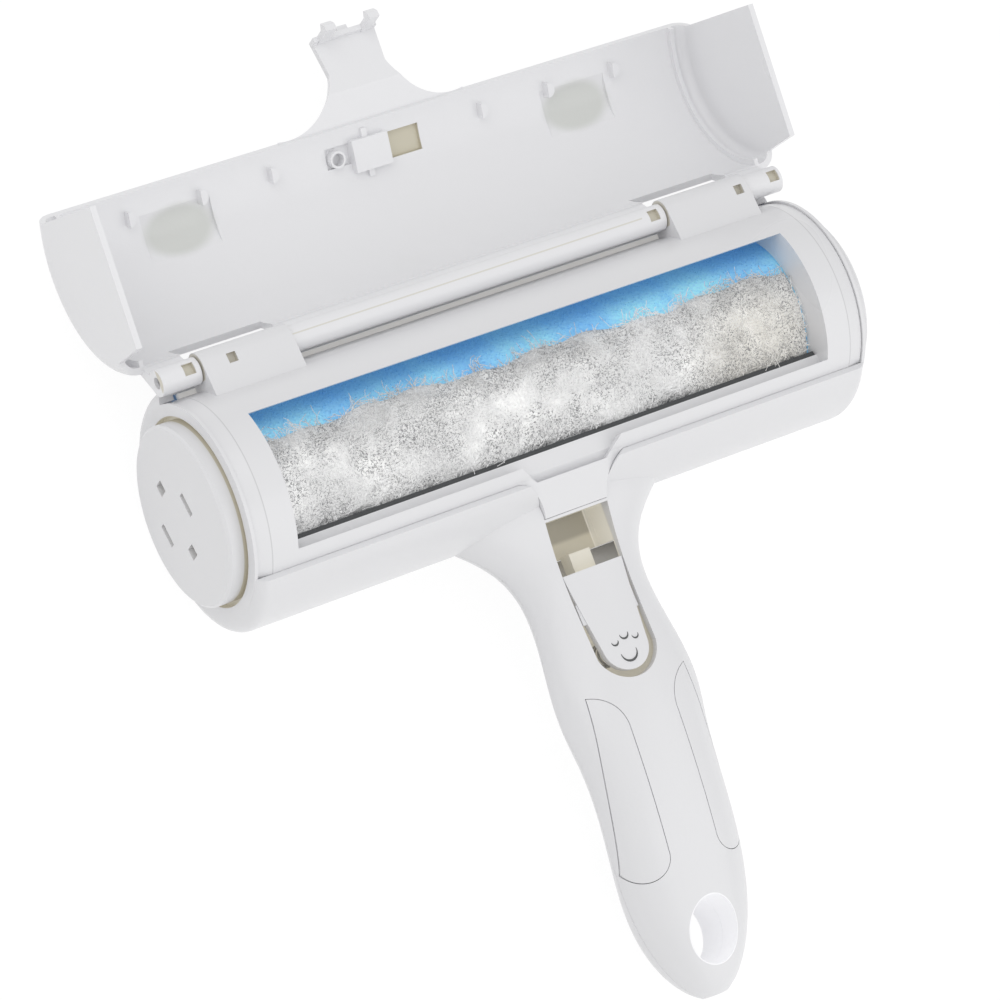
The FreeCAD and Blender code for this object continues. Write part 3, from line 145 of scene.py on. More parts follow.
class Shader:
    """A material's node tree and the few ways in which nodes are added to it."""

    def __init__(self, name):
        self.material = bpy.data.materials.new(name)
        self.material.use_nodes = True
        self.tree = self.material.node_tree
        self.tree.nodes.clear()
        self.output = self.tree.nodes.new("ShaderNodeOutputMaterial")
        self.surface = self.tree.nodes.new("ShaderNodeBsdfPrincipled")
        self.tree.links.new(self.surface.outputs[0], self.output.inputs["Surface"])

    def node(self, kind, settings=None, inputs=(), output=0):
        """Add a node, set it up, feed its sockets and give one output back."""
        made = self.tree.nodes.new(kind)
        for key, value in (settings or {}).items():
            setattr(made, key, value)
        pairs = inputs.items() if isinstance(inputs, dict) else enumerate(inputs)
        for key, value in pairs:
            self.feed(made.inputs[key], value)
        return Value(self, made.outputs[output])

    def feed(self, socket, value):
        if isinstance(value, Value):
            self.tree.links.new(value.socket, socket)
        elif value is not None:
            socket.default_value = value

    def place(self):
        return self.node("ShaderNodeTexCoord", output="Object")

    def vector(self, operation, *inputs):
        """A sum on vectors, whose result is a number for a length, a distance or a product."""
        output = "Value" if operation in ("LENGTH", "DISTANCE", "DOT_PRODUCT") else "Vector"
        return self.node("ShaderNodeVectorMath", {"operation": operation}, inputs, output)

    def noise(self, vector, scale, detail=3.0, stretch=None):
        if stretch is not None:
            vector = self.vector("MULTIPLY", vector, stretch)
        return self.node("ShaderNodeTexNoise", {}, {"Vector": vector, "Scale": scale, "Detail": detail})

    def ramp(self, value, low, high, start=0.0, end=1.0):
        settings = {"interpolation_type": "SMOOTHSTEP"}
        return self.node("ShaderNodeMapRange", settings, [value, low, high, start, end])

    def mix(self, factor, first, second):
        """One colour turning into another."""
        made = self.tree.nodes.new("ShaderNodeMix")
        made.data_type = "RGBA"
        self.feed(made.inputs[0], factor)
        for socket, tone in ((made.inputs[6], first), (made.inputs[7], second)):
            self.feed(socket, tone if isinstance(tone, Value) else (*tone, 1))
        return Value(self, made.outputs[2])

    def from_axis(self, place, centre):
        """Distance from a line along X through a point."""
        flat = self.vector("MULTIPLY_ADD", place, (0, 1, 1), (0, -centre.y, -centre.z))
        return self.vector("LENGTH", flat)

    def from_middle(self, x, y):
        """Length of a flat vector: 1 on an ellipse, where X and Y are shares of its half sizes."""
        return self.vector("LENGTH", self.node("ShaderNodeCombineXYZ", {}, [x, y, 0.0]))

    def near(self, place, point, radius, soft=0.0005, squeeze=1.0):
        """1 inside a sphere about a point, or inside an egg drawn out along X, and 0 beyond it."""
        scaled = self.vector("MULTIPLY", place, (1 / squeeze, 1, 1))
        centre = (point.x / squeeze, point.y, point.z)
        return 1 - self.vector("DISTANCE", scaled, centre).above(radius, soft)

    def along_head(self, place):
        """X, Y and Z in the head frame, in metres."""
        values = []
        for way in ((1, 0, 0), (0, 1, 0), (0, 0, 1)):
            line = (at_head(*way) - at_head(0, 0, 0)).normalized()
            values.append(self.vector("DOT_PRODUCT", place, line) - at_head(0, 0, 0).dot(line))
        return values

    def bump(self, height, strength, distance):
        inputs = {"Strength": strength, "Distance": distance, "Height": height}
        return self.node("ShaderNodeBump", {}, inputs)

    def set(self, **sockets):
        """Feed the surface's sockets, named with underscores for spaces."""
        for key, value in sockets.items():
            self.feed(self.surface.inputs[key.replace("_", " ")], value)
        return self.material


def colour(values):
    return tuple(values)[:3]


class ShellLook(bpy.types.PropertyGroup):
    shell: FloatVectorProperty(name="Shell", description="White of the mouldings", subtype="COLOR",
                               default=(0.80, 0.80, 0.815), min=0, max=1)
    # The recess tone is painted shade inside gaps and recesses.
    recess: FloatVectorProperty(name="Recess", description="Warm tone inside gaps and recesses",
                                subtype="COLOR", default=(0.60, 0.565, 0.47), min=0, max=1)
    gloss: FloatProperty(name="Roughness", description="Roughness of the mouldings", default=0.3,
                         min=0, max=1)


class FurLook(bpy.types.PropertyGroup):
    hairs: IntProperty(name="Hairs", description="Hairs in each layer", default=2900, min=100)
    length: FloatProperty(name="Length", description="Length of a hair", default=0.0075, unit="LENGTH")
    width: FloatProperty(name="Width", description="Radius of a hair", default=0.000095, unit="LENGTH")
    tufts: IntProperty(name="Tufts", description="Tufts of pile on each velvet sleeve", default=10500,
                       min=100)
    velvet: FloatVectorProperty(name="Velvet", description="Blue of the drum's pile", subtype="COLOR",
                                default=(0.27, 0.62, 0.98), min=0, max=1)


class StudioLook(bpy.types.PropertyGroup):
    focal: FloatProperty(name="Focal length", description="Lens that matches the view", default=153.18)
    key: FloatProperty(name="Key", description="Strength of the main lamp", default=2.2, unit="POWER")
    fill: FloatProperty(name="Fill", description="Strength of the sky", default=0.68)


CLOUD_SCALE = 16.0
CLOUD_SHADE = 0.97
GRAIN_SCALE = 900.0


class Moulding:
    """White moulded plastic: a soft gloss with faint flow marks, and warmer where it lies deep, as painted
    shade with a painted glow.
    """

    def __init__(self, name):
        self.look = bpy.context.scene.brush_shell
        self.shader = Shader(name)
        self.place = self.shader.place()
        self.across, self.along, self.up = self.shader.along_head(self.place)
        self.shell = colour(self.look.shell)
        self.cloud = self.shader.noise(self.place, CLOUD_SCALE, detail=1.0)
        self.tint = self.shader.mix(self.cloud, self.shell, [c * CLOUD_SHADE for c in self.shell])
        self.painted_glow = None

    def tone(self, mask, tone):
        """Turn to a tone where the mask is 1."""
        self.tint = self.shader.mix(mask, self.tint, tone)

    def paint_shade_and_glow(self, mask, tone=None, painted_glow=0.0):
        """Paint shade and light: turn to a tone, the recess tone unless another is given, and add a painted
        glow that stands for the light that bounces about in there.
        """
        tone = colour(tone or self.look.recess)
        self.tone(mask, tone)
        if painted_glow:
            self.painted_glow = self.shader.mix(mask, self.painted_glow or (0, 0, 0), [c * painted_glow for c in tone])

    def finish(self):
        shader, gloss = self.shader, self.look.gloss
        grain = shader.noise(self.place, GRAIN_SCALE, detail=2.0)
        # The painted glow goes out as emission, though no lamp is there.
        if self.painted_glow is not None:
            shader.set(Emission_Color=self.painted_glow, Emission_Strength=1.0)
        rough = shader.ramp(self.cloud, 0.1, 0.9, gloss - 0.04, gloss + 0.06)
        return shader.set(Base_Color=self.tint, Roughness=rough, Coat_Weight=0.2, Coat_Roughness=0.15,
                          IOR=1.5, Normal=shader.bump(grain, 0.08, 0.0002))


def shell_material():
    return Moulding("white_moulding").finish()


# Places on the mouldings, in metres of the head frame: across is X, along is Y and up is Z.
RECESS_ALONG = (-0.0779, -0.0324)
RECESS_HALF = 0.0098
RECESS_RIM = 0.0092
RIM_RISE = 0.002
RIM_RISE_FROM = 0.069
RIM_RISE_LENGTH = 0.018
RECESS_FLOOR = -0.0012
RECESS_WALL = 0.0092
SHADE_FROM = -0.0385
HOLE_ALONG = -0.146
HOLE_HALVES = (0.0072, 0.009)
HANDLE_HALVES = (0.0168, 0.0092)
HANDLE_UP = 0.0018
HANDLE_ALONG = (-0.086, -0.03)
CAP_RADIUS = 0.02535
CAP_GAP = (0.0912, 0.0937)
CAP_SEAM = 0.0942
BUTTON_TOP = 0.0088
END_BAND = (0.08855, 0.08885)
CLIP_PIT = 0.0043
BARREL_PIT = 0.0033
PITS_ALONG = 0.030
PITS_UP = 0.0012
BARREL_LINE = (0.0338, 0.0342)
BARREL_LINE_UP = 0.0096
BARREL_LINE_ENDS = (-0.0575, 0.0500)
PANE_ACROSS = (0.0028, 0.0129)
PANE_REACH = 0.0075
SCOOP_RADIUS = 0.0066

# Places on the lid for at_lid: X, radius and angle.
PANE_PLACE = (7.85, 29.4, 120.5)
SCOOP_PLACE = (61.6, 29.9, 111)

# Depths outwards from the lid's inner radius, in millimetres.
PANE_DEPTHS = (0.3, 1.5)
INNER_SKIN = 1.4

# Tones of painted shade and painted glow in these places, and how much lighter than the rest the lid is
# painted, as painted light.
LIP_SHADOW_TONE = (0.34, 0.32, 0.27)
WALL_GLOW_TONE = (0.78, 0.76, 0.70)
HANDLE_SHADE_TONE = (0.66, 0.63, 0.55)
LATCH_SHADE_TONE = (0.74, 0.71, 0.62)
SCOOP_SHADE_TONE = (0.64, 0.655, 0.62)
PANE_SHADE_TONE = (0.62, 0.58, 0.46)
STRIP_GLOW_TONE = (0.72, 0.71, 0.69)
LID_LIGHTER = 1.06


def deep_in_recess(made):
    """1 on what lies below the rim of the latch recess, which rises towards the handle's end."""
    rim = RECESS_RIM + (0 - made.along).above(RIM_RISE_FROM, RIM_RISE_LENGTH) * RIM_RISE
    inside = made.along.between(*RECESS_ALONG) * (1 - made.across.size().above(RECESS_HALF, 0.0002))
    return inside * made.shader.ramp(rim - made.up, 0.0, 0.0012)


def hang_hole_wall(made):
    """1 on the wall of the hole in the handle's end."""
    across, along = HOLE_HALVES
    away = made.shader.from_middle(made.across / across, (made.along - HOLE_ALONG) / along)
    return 1 - away.above(1.03, 0.03)


def housing_material():
    """Painted shade, warm, in the gap behind the caps and down in the latch recess, which is darkest near
    its top as painted shadow, and painted light with a glow on its side wall and on the hang hole's wall.
    """
    made = Moulding("housing_moulding")
    core = 1 - made.shader.from_axis(made.place, at_head(0, 0, 0)).above(CAP_RADIUS, 0.0003)
    recess = deep_in_recess(made)
    # Painted shade with a painted glow in the gap behind the caps and down in the latch recess.
    made.paint_shade_and_glow(core * made.across.size().between(*CAP_GAP) + recess, painted_glow=0.2)
    # Painted shadow on the recess floor under the lip, near the recess top.
    floor = recess * (1 - made.up.above(RECESS_FLOOR, 0.0005)) * made.along.above(SHADE_FROM, 0.0015)
    made.paint_shade_and_glow(floor * 0.75, LIP_SHADOW_TONE, painted_glow=0.12)
    # Painted light on the recess wall at the side: a paler warm tone with a painted glow.
    made.paint_shade_and_glow(recess * made.across.above(RECESS_WALL, 0.0003) * 0.7, WALL_GLOW_TONE, painted_glow=0.3)
    # Painted light on the hang hole's wall: the shell's own white with a painted glow.
    made.paint_shade_and_glow(hang_hole_wall(made), made.shell, painted_glow=0.24)
    return made.finish()


def back_material():
    """Painted shade and painted glow inside the handle, where the latch recess opens on it, and a painted
    glow on the hang hole's wall.
    """
    made = Moulding("back_moulding")
    across, up = HANDLE_HALVES
    egg = made.shader.from_middle(made.across / across, (made.up - HANDLE_UP) / up)
    # Painted shade with a painted glow inside the handle.
    made.paint_shade_and_glow((1 - egg.above(1.0, 0.02)) * made.along.between(*HANDLE_ALONG), HANDLE_SHADE_TONE, painted_glow=0.38)
    # Painted light on the hang hole's wall.
    made.paint_shade_and_glow(hang_hole_wall(made), made.shell, painted_glow=0.24)
    return made.finish()


def cap_material():
    """Painted shade, warm, at the seam where a cap enters the end of the tub."""
    made = Moulding("cap_moulding")
    # Painted shade in the seam gap.
    made.paint_shade_and_glow(1 - made.across.size().above(CAP_SEAM, 0.0002))
    return made.finish()


def button_material():
    """Painted shade and painted glow on the latch below the button's top."""
    made = Moulding("button_moulding")
    made.paint_shade_and_glow(1 - made.up.above(BUTTON_TOP, 0.001), LATCH_SHADE_TONE, painted_glow=0.15)
    return made.finish()


def frame_material():
    """Painted shade in the pits of the hinge clips, and a fine painted shade line where the end bands step
    down.
    """
    made = Moulding("frame_moulding")
    deep = 1 - made.shader.from_axis(made.place, at_head(0, *HINGE)).above(CLIP_PIT, 0.0001)
    # Painted shade: a dark line where the end bands step down.
    step_shade = made.across.size().between(*END_BAND, 0.0001)
    made.tone(step_shade * 0.4, [c * 0.5 for c in made.shell])
    # Painted shade in the pits of the hinge clips.
    made.paint_shade_and_glow(deep * made.along.above(PITS_ALONG, 0.0002) * 0.8)
    return made.finish()


def lid_material():
    """Painted shade in the blind pane, the pits and the line along the barrel, greyer painted shade in the
    two scoops, and painted light over the whole lid, which is lighter.
    """
    made = Moulding("lid_moulding")
    shader = made.shader
    # Painted light: the whole lid is made lighter than the other mouldings.
    made.tone(1.0, [min(1.0, c * LID_LIGHTER) for c in made.shell])
    radius = shader.from_axis(made.place, at_lid(0, 0, 0))
    inner = 1 - radius.above((LID_INNER + INNER_SKIN) * MM, 0.0003)
    x, depth, angle = SCOOP_PLACE
    # Painted shade: greyer in the two scoops.
    for side in (-1, 1):
        scoop = shader.near(made.place, at_lid(side * x, depth, angle), SCOOP_RADIUS, 0.003, squeeze=1.5)
        made.tone(scoop * inner * 0.8, SCOOP_SHADE_TONE)
    low, high = [(LID_INNER + depth) * MM for depth in PANE_DEPTHS]
    pane = radius.between(low, high) * made.across.between(*PANE_ACROSS)
    pane = pane * shader.near(made.place, at_lid(*PANE_PLACE), PANE_REACH)
    pits = 1 - shader.from_axis(made.place, at_head(0, *HINGE)).above(BARREL_PIT, 0.0002)
    pits = pits * made.along.above(PITS_ALONG, 0.0002) * (made.up - HINGE[1] * MM).above(PITS_UP, 0.0004)
    line = made.along.between(*BARREL_LINE, 0.0001) * made.up.above(BARREL_LINE_UP, 0.0002)
    line = line * made.across.between(*BARREL_LINE_ENDS)
    # Painted shade in the blind pane, the pits and the line along the barrel.
    made.paint_shade_and_glow(pane + pits * 0.8 + line * 0.5, PANE_SHADE_TONE)
    return made.finish()


PLAIN_GRAIN = 600.0


def plain_material(name, tone, roughness, metallic=0.0):
    """A moulded or drawn part that is hardly seen: even colour, fine grain."""
    shader = Shader(name)
    grain = shader.noise(shader.place(), PLAIN_GRAIN)
    tint = shader.mix(shader.ramp(grain, 0.3, 0.7), [c * 0.9 for c in tone], tone)
    rough = shader.ramp(grain, 0.2, 0.8, roughness - 0.05, roughness + 0.05)
    return shader.set(Base_Color=tint, Roughness=rough, Metallic=metallic,
                      Normal=shader.bump(grain, 0.15, 0.0001))


PILE_SCALE = 1400.0
LAY_SCALE = 60.0
# Where the painted shade on the velvet starts, towards the rear.
VELVET_SHADE_FROM = 0.0145


def velvet_material():
    """Short blue pile with the streaks of its lay, darker towards the rear as painted shade under the
    frame's edge, and a painted glow.
    """
    look = bpy.context.scene.brush_fur
    shader = Shader("blue_velvet")
    place = shader.place()
    pile = shader.noise(place, PILE_SCALE, detail=2.0)
    lay = shader.noise(place, LAY_SCALE, detail=4.0, stretch=(1.0, 0.3, 0.3))
    base = colour(look.velvet)
    light = [min(1.0, c * 1.25 + 0.08) for c in base]
    tint = shader.mix(shader.ramp(lay, 0.3, 0.7), base, light)
    tint = shader.mix(shader.ramp(pile, 0.35, 0.75) * 0.3, tint, [c * 0.7 for c in base])
    # Painted shade: darker towards the rear, under the frame's edge.
    rear_shade = shader.along_head(place)[1].above(VELVET_SHADE_FROM, 0.006)
    tint = shader.mix(rear_shade * 0.55, tint, [c * c * 0.6 for c in base])
    # A painted glow: emission of the pile's own tint, though no lamp is there.
    return shader.set(Base_Color=tint, Roughness=0.9, Sheen_Weight=0.4, Sheen_Roughness=0.4,
                      Sheen_Tint=(*base, 1), Emission_Color=tint, Emission_Strength=0.2,
                      Normal=shader.bump(pile, 0.7, 0.0006))


PATCH_SCALE = 45.0
STRAND_SCALE = 1150.0
CROWD_SCALE = 110.0
DUST_PLACE = (66, -12, 17)
DUST_RADIUS = 0.018
DUST_TONE = (0.80, 0.77, 0.70)
# Painted shade over the fur towards the velvet: where it starts and its tone.
FUR_SHADE_FROM = 0.0045
FUR_SHADE_TONE = (0.50, 0.50, 0.50)
# Painted shade in the gaps between strands.
GAP_SHADE_TONE = (0.13, 0.13, 0.14)


def fur_material(name, light, dark, gap_shade):
    """Caught hair: pale strands with greyer patches, painted shade in the dark gaps between them and over
    the part towards the velvet, and a painted glow.
    """
    shader = Shader(name)
    place = shader.place()
    patch = shader.noise(place, PATCH_SCALE)
    strand = shader.noise(place, STRAND_SCALE, detail=2.0, stretch=(1.0, 1.0, 0.4))
    crowd = shader.noise(place, CROWD_SCALE, detail=2.0)
    tint = shader.mix(shader.ramp(patch, 0.35, 0.65), dark, light)
    dust = shader.near(place, at_head(*DUST_PLACE), DUST_RADIUS, 0.024) * 0.5
    tint = shader.mix(dust, tint, DUST_TONE)
    # Painted shade: greyer on the part towards the velvet.
    upper_shade = shader.along_head(place)[1].above(FUR_SHADE_FROM, 0.008) * shader.ramp(patch, 0.3, 0.5) * 0.45
    tint = shader.mix(upper_shade, tint, FUR_SHADE_TONE)
    # Painted shade: dark lines in the gaps between the strands.
    lines = 1 - shader.ramp((strand - 0.5).size(), 0.0, 0.055)
    tint = shader.mix(lines * shader.ramp(crowd, 0.35, 0.6, 0.3, 1.0) * gap_shade, tint, GAP_SHADE_TONE)
    # A painted glow: emission of the hair's own tint, though no lamp is there.
    return shader.set(Base_Color=tint, Roughness=0.75, Sheen_Weight=0.2, Emission_Color=tint,
                      Emission_Strength=0.17, Normal=shader.bump(strand, 0.6, 0.0008))


# The strip under the frame's rear edge, in head millimetres.
STRIP_SIDES = (-88, 88)
STRIP_BACK = (27.2, 29.68)
STRIP_UP = (-0.6, 0.8)
BOX_FACES = ((0, 1, 3, 2), (4, 6, 7, 5), (0, 4, 5, 1), (2, 3, 7, 6), (0, 2, 6, 4), (1, 5, 7, 3))

CREAM = (0.55, 0.52, 0.43)
RUBBER = (0.065, 0.068, 0.072)
STEEL = (0.55, 0.55, 0.56)


def finish_nodes(material, slot, *names):
    """Give CAD nodes one finish."""
    for name in names:
        node = frame["nodes"][name]
        node.data.materials.clear()
        node.data.materials.append(material)


class BRUSH_OT_shell(bpy.types.Operator):
    """Finish the white mouldings"""

    bl_idname = "brush.shell"
    bl_label = "Shell"

    def execute(self, context):
        finish_nodes(shell_material(), "white_shell", "grip_left", "grip_right")
        finish_nodes(back_material(), "white_shell", "handle_back")
        finish_nodes(cap_material(), "white_shell", "end_cap_left", "end_cap_right")
        finish_nodes(button_material(), "white_shell", "release_button")
        finish_nodes(housing_material(), "white_shell", "lower_housing")
        finish_nodes(frame_material(), "white_shell", "window_frame")
        finish_nodes(lid_material(), "white_shell", "lid_shell")
        self.close_rear_gap()
        return {"FINISHED"}

    def close_rear_gap(self):
        """A strip under the frame's rear edge, which closes the view past the drum, with a painted glow."""
        mesh = bpy.data.meshes.new("rear_strip")
        corners = [at_head(x, y, z) for x in STRIP_SIDES for y in STRIP_BACK for z in STRIP_UP]
        mesh.from_pydata(corners, [], BOX_FACES)
        made = Moulding("strip_painted_glow")
        # Painted glow on the strip, which lies deep under the edge.
        made.paint_shade_and_glow(1.0, STRIP_GLOW_TONE, painted_glow=0.34)
        mesh.materials.append(made.finish())
        strip = bpy.data.objects.new("rear_strip", mesh)
        bpy.context.scene.collection.objects.link(strip)
        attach(strip, "housing")


class BRUSH_OT_works(bpy.types.Operator):
    """Finish the drum, the bushes, the rubber strips and the steel"""

    bl_idname = "brush.works"
    bl_label = "Works"

    def execute(self, context):
        finish_nodes(plain_material("cream_plastic", CREAM, 0.5), "inner_plastic",
                     "drum_core", "bearing_left", "bearing_right")
        finish_nodes(plain_material("dark_rubber", RUBBER, 0.6), "dark_rubber",
                     "wiper_front", "wiper_rear", "window_seal")
        finish_nodes(plain_material("drawn_steel", STEEL, 0.3, metallic=1.0), "steel",
                     "hinge_pin", "button_pin", "drum_axle", "button_spring", "housing_screws")
        return {"FINISHED"}


FULL_TURN = 6.283
SHORTEST_SHARE = 0.35
CURL_SCALE = 160.0
CURL_SHAPE = (2.0, 2.0, 0.7)


class FurTree:
    """Geometry nodes that lay curled hairs over a surface."""

    INPUTS = (("Hairs", "NodeSocketInt", 4000), ("Length", "NodeSocketFloat", 0.01),
              ("Width", "NodeSocketFloat", 0.0001), ("Curl", "NodeSocketFloat", 0.003),
              ("Lean Low", "NodeSocketVector", (-0.25, -0.25, 0.0)),
              ("Lean High", "NodeSocketVector", (0.25, 0.25, FULL_TURN)),
              ("Steps", "NodeSocketInt", 5), ("Seed", "NodeSocketInt", SEED))

    def __init__(self, name, material):
        self.group = bpy.data.node_groups.new(name, "GeometryNodeTree")
        face = self.group.interface
        face.new_socket("Geometry", in_out="INPUT", socket_type="NodeSocketGeometry")
        for title, kind, value in self.INPUTS:
            face.new_socket(title, in_out="INPUT", socket_type=kind).default_value = value
        face.new_socket("Geometry", in_out="OUTPUT", socket_type="NodeSocketGeometry")
        self.inside = self.group.nodes.new("NodeGroupInput")
        self.outside = self.group.nodes.new("NodeGroupOutput")
        self.build(material)

    def node(self, kind, settings=None, inputs=None):
        made = self.group.nodes.new(kind)
        for key, value in (settings or {}).items():
            setattr(made, key, value)
        for key, value in (inputs or {}).items():
            socket = made.inputs[key]
            if isinstance(value, bpy.types.NodeSocket):
                self.group.links.new(value, socket)
            else:
                socket.default_value = value
        return made

    def build(self, material):
        given = self.inside.outputs
        spread = self.node("GeometryNodeDistributePointsOnFaces", {"distribute_method": "RANDOM"},
                           {"Mesh": given["Geometry"], "Seed": given["Seed"]})
        area = self.node("GeometryNodeAttributeStatistic", {"domain": "FACE"},
                         {"Geometry": given["Geometry"]})
        face_area = self.node("GeometryNodeInputMeshFaceArea")
        self.group.links.new(face_area.outputs[0], area.inputs["Attribute"])
        density = self.node("ShaderNodeMath", {"operation": "DIVIDE"},
                            {0: given["Hairs"], 1: area.outputs["Sum"]})
        self.group.links.new(density.outputs[0], spread.inputs["Density"])
        hair = self.node("GeometryNodeCurveQuadraticBezier", None,
                         {"Resolution": given["Steps"], "Start": (0, 0, 0), "Middle": (0.5, 0.2, 0.1),
                          "End": (1, 0, 0)})
        turn = self.node("FunctionNodeRandomValue", {"data_type": "FLOAT_VECTOR"},
                         {0: given["Lean Low"], 1: given["Lean High"], "Seed": given["Seed"]})
        leaning = self.node("FunctionNodeRotateRotation", {"rotation_space": "LOCAL"},
                            {"Rotation": spread.outputs["Rotation"], "Rotate By": turn.outputs[0]})
        size = self.node("FunctionNodeRandomValue", {"data_type": "FLOAT"},
                         {2: SHORTEST_SHARE, 3: 1.0, "Seed": given["Seed"]})
        scaled = self.node("ShaderNodeMath", {"operation": "MULTIPLY"},
                           {0: size.outputs[1], 1: given["Length"]})
        laid = self.node("GeometryNodeInstanceOnPoints", None,
                         {"Points": spread.outputs["Points"], "Instance": hair.outputs["Curve"],
                          "Rotation": leaning.outputs[0], "Scale": scaled.outputs[0]})
        real = self.node("GeometryNodeRealizeInstances", None, {"Geometry": laid.outputs[0]})
        where = self.node("GeometryNodeInputPosition")
        curl = self.node("ShaderNodeTexNoise", {"noise_dimensions": "3D"},
                         {"Vector": where.outputs[0], "Scale": CURL_SCALE, "Detail": 2.0})
        centred = self.node("ShaderNodeVectorMath", {"operation": "SUBTRACT"},
                            {0: curl.outputs["Color"], 1: (0.5, 0.5, 0.5)})
        flat = self.node("ShaderNodeVectorMath", {"operation": "MULTIPLY"},
                         {0: centred.outputs[0], 1: CURL_SHAPE})
        pushed = self.node("ShaderNodeVectorMath", {"operation": "SCALE"},
                           {0: flat.outputs[0], "Scale": given["Curl"]})
        moved = self.node("GeometryNodeSetPosition", None,
                          {"Geometry": real.outputs[0], "Offset": pushed.outputs[0]})
        ring = self.node("GeometryNodeCurvePrimitiveCircle", {"mode": "RADIUS"}, {"Resolution": 3})
        self.group.links.new(given["Width"], ring.inputs["Radius"])
        tube = self.node("GeometryNodeCurveToMesh", None,
                         {"Curve": moved.outputs[0], "Profile Curve": ring.outputs[0]})
        joined = self.node("GeometryNodeRealizeInstances", None, {"Geometry": tube.outputs[0]})
        coated = self.node("GeometryNodeSetMaterial", None,
                           {"Geometry": joined.outputs[0], "Material": material})
        self.group.links.new(coated.outputs[0], self.outside.inputs[0])


def grow(surface, name, tree, values):
    """Run a tree on a surface and return its result as a plain mesh object."""
    modifier = surface.modifiers.new(name, "NODES")
    modifier.node_group = tree.group
    for item in tree.group.interface.items_tree:
        if item.in_out == "INPUT" and item.name in values:
            modifier[item.identifier] = values[item.name]
    bpy.context.view_layer.update()
    graph = bpy.context.evaluated_depsgraph_get()
    mesh = bpy.data.meshes.new_from_object(surface.evaluated_get(graph))
    mesh.name = name
    surface.modifiers.remove(modifier)
    piece = bpy.data.objects.new(name, mesh)
    bpy.context.scene.collection.objects.link(piece)
    return piece


def grid_mesh(name, columns, rows, place):
    """A mesh of a grid whose points come from a rule of two shares."""
    mesh = bpy.data.meshes.new(name)
    spots = [(column / columns, row / rows) for row in range(rows + 1) for column in range(columns + 1)]
    faces = []
    for row in range(rows):
        for column in range(columns):
            corner = row * (columns + 1) + column
            faces.append((corner, corner + 1, corner + columns + 2, corner + columns + 1))
    mesh.from_pydata([place(*spot) for spot in spots], [], faces)
    mesh.update()
    return mesh


def new_object(name, mesh, material):
    """Link a smooth mesh as an object of one material."""
    piece = bpy.data.objects.new(name, mesh)
    bpy.context.scene.collection.objects.link(piece)
    mesh.materials.append(material)
    mesh.polygons.foreach_set("use_smooth", [True] * len(mesh.polygons))
    return piece


def thicken(piece, depth):
    """Give an open sheet an underside."""
    shell = piece.modifiers.new("Thickness", "SOLIDIFY")
    shell.thickness = depth
    shell.offset = -1


# The fur mat in head millimetres: its outline, with the waves of its back edge, and its thickness.
MAT_HALF = 80.8
MAT_FRONT = -14.1
MAT_BACK = 9.6
MAT_SLANT = 0.014
BACK_WAVES = ((0.7, 0.12, 0), (0.5, 0.37, 1))
MAT_RADIUS = 22.3
MAT_THICK = 1.9

# Shares of that thickness at the edges and above them, and the lumps on top.
EDGE_SHARE = 0.28
TOP_SHARE = 0.55
EDGE_SLOPES = (6, 30)
LUMP_SHARES = (0.6, 0.5)
LUMP_RATES = (0.31, 0.5)
LUMP_DRIFT = (0.11, 0.3)
LUMP_SWAY = 2
LUMP_HEIGHT = 0.5
LUMP_BASE = 0.4

MAT_GRID = (160, 24)
FELT_DEPTH = 0.5 * MM
LAYER_SHARES = (1.0, 0.75, 0.6)
FELT_TONES = ((0.95, 0.95, 0.94), (0.74, 0.74, 0.74))
STRAND_TONES = ((0.99, 0.99, 0.99), (0.93, 0.93, 0.93))


def mat_point(share_x, share_y):
    """A point on the top of the fur mat, which sinks towards its ragged edges."""
    x = -MAT_HALF + 2 * MAT_HALF * share_x
    back = MAT_BACK - MAT_SLANT * x
    for height, rate, start in BACK_WAVES:
        back += height * math.sin(x * rate + start)
    y = MAT_FRONT + (back - MAT_FRONT) * share_y
    along, across = EDGE_SLOPES
    edge = min(1.0, along * min(share_y, 1 - share_y), across * min(share_x, 1 - share_x))
    swell = LUMP_HEIGHT * math.sin(x * LUMP_RATES[0] + LUMP_SWAY * math.sin(y * LUMP_RATES[1]))
    lump = swell * math.sin(x * LUMP_DRIFT[0] + y * LUMP_DRIFT[1]) + LUMP_BASE
    top = TOP_SHARE * edge * (LUMP_SHARES[0] + LUMP_SHARES[1] * lump)
    radius = MAT_RADIUS + MAT_THICK * (EDGE_SHARE + top)
    return at_head(x, y, math.sqrt(radius ** 2 - y ** 2) + DRUM_IN_HEAD)


class BRUSH_OT_fur(bpy.types.Operator):
    """Lay the mat of caught fur on the drum"""

    bl_idname = "brush.fur"
    bl_label = "Fur"

    def execute(self, context):
        look = context.scene.brush_fur
        felt = fur_material("felted_fur", *FELT_TONES, 1.0)
        strands = fur_material("fur_strands", *STRAND_TONES, 0.8)
        body = new_object("fur_felt", grid_mesh("fur_felt", *MAT_GRID, mat_point), felt)
        tree = FurTree("laid_hair", strands)
        for layer, share in enumerate(LAYER_SHARES):
            values = {"Hairs": look.hairs, "Length": look.length * share, "Width": look.width,
                      "Seed": SEED + layer}
            hairs = grow(body, "fur_layer_%d" % (layer + 1), tree, values)
            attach(hairs, "housing")
        thicken(body, FELT_DEPTH)
        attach(body, "housing")
        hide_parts("fur_mat")
        return {"FINISHED"}


# The velvet sleeves in head millimetres, and the degrees that each half leaves free at its seams.
PILE_RADIUS = 22.0
PILE_HALF = 88.4
PILE_SEAM = 0.9
ARC_PER_DEGREE = 0.38
EDGE_START = 0.02
EDGE_ROLL = 0.9
EDGE_SINK = 0.5
SLEEVE_SINK = 0.4

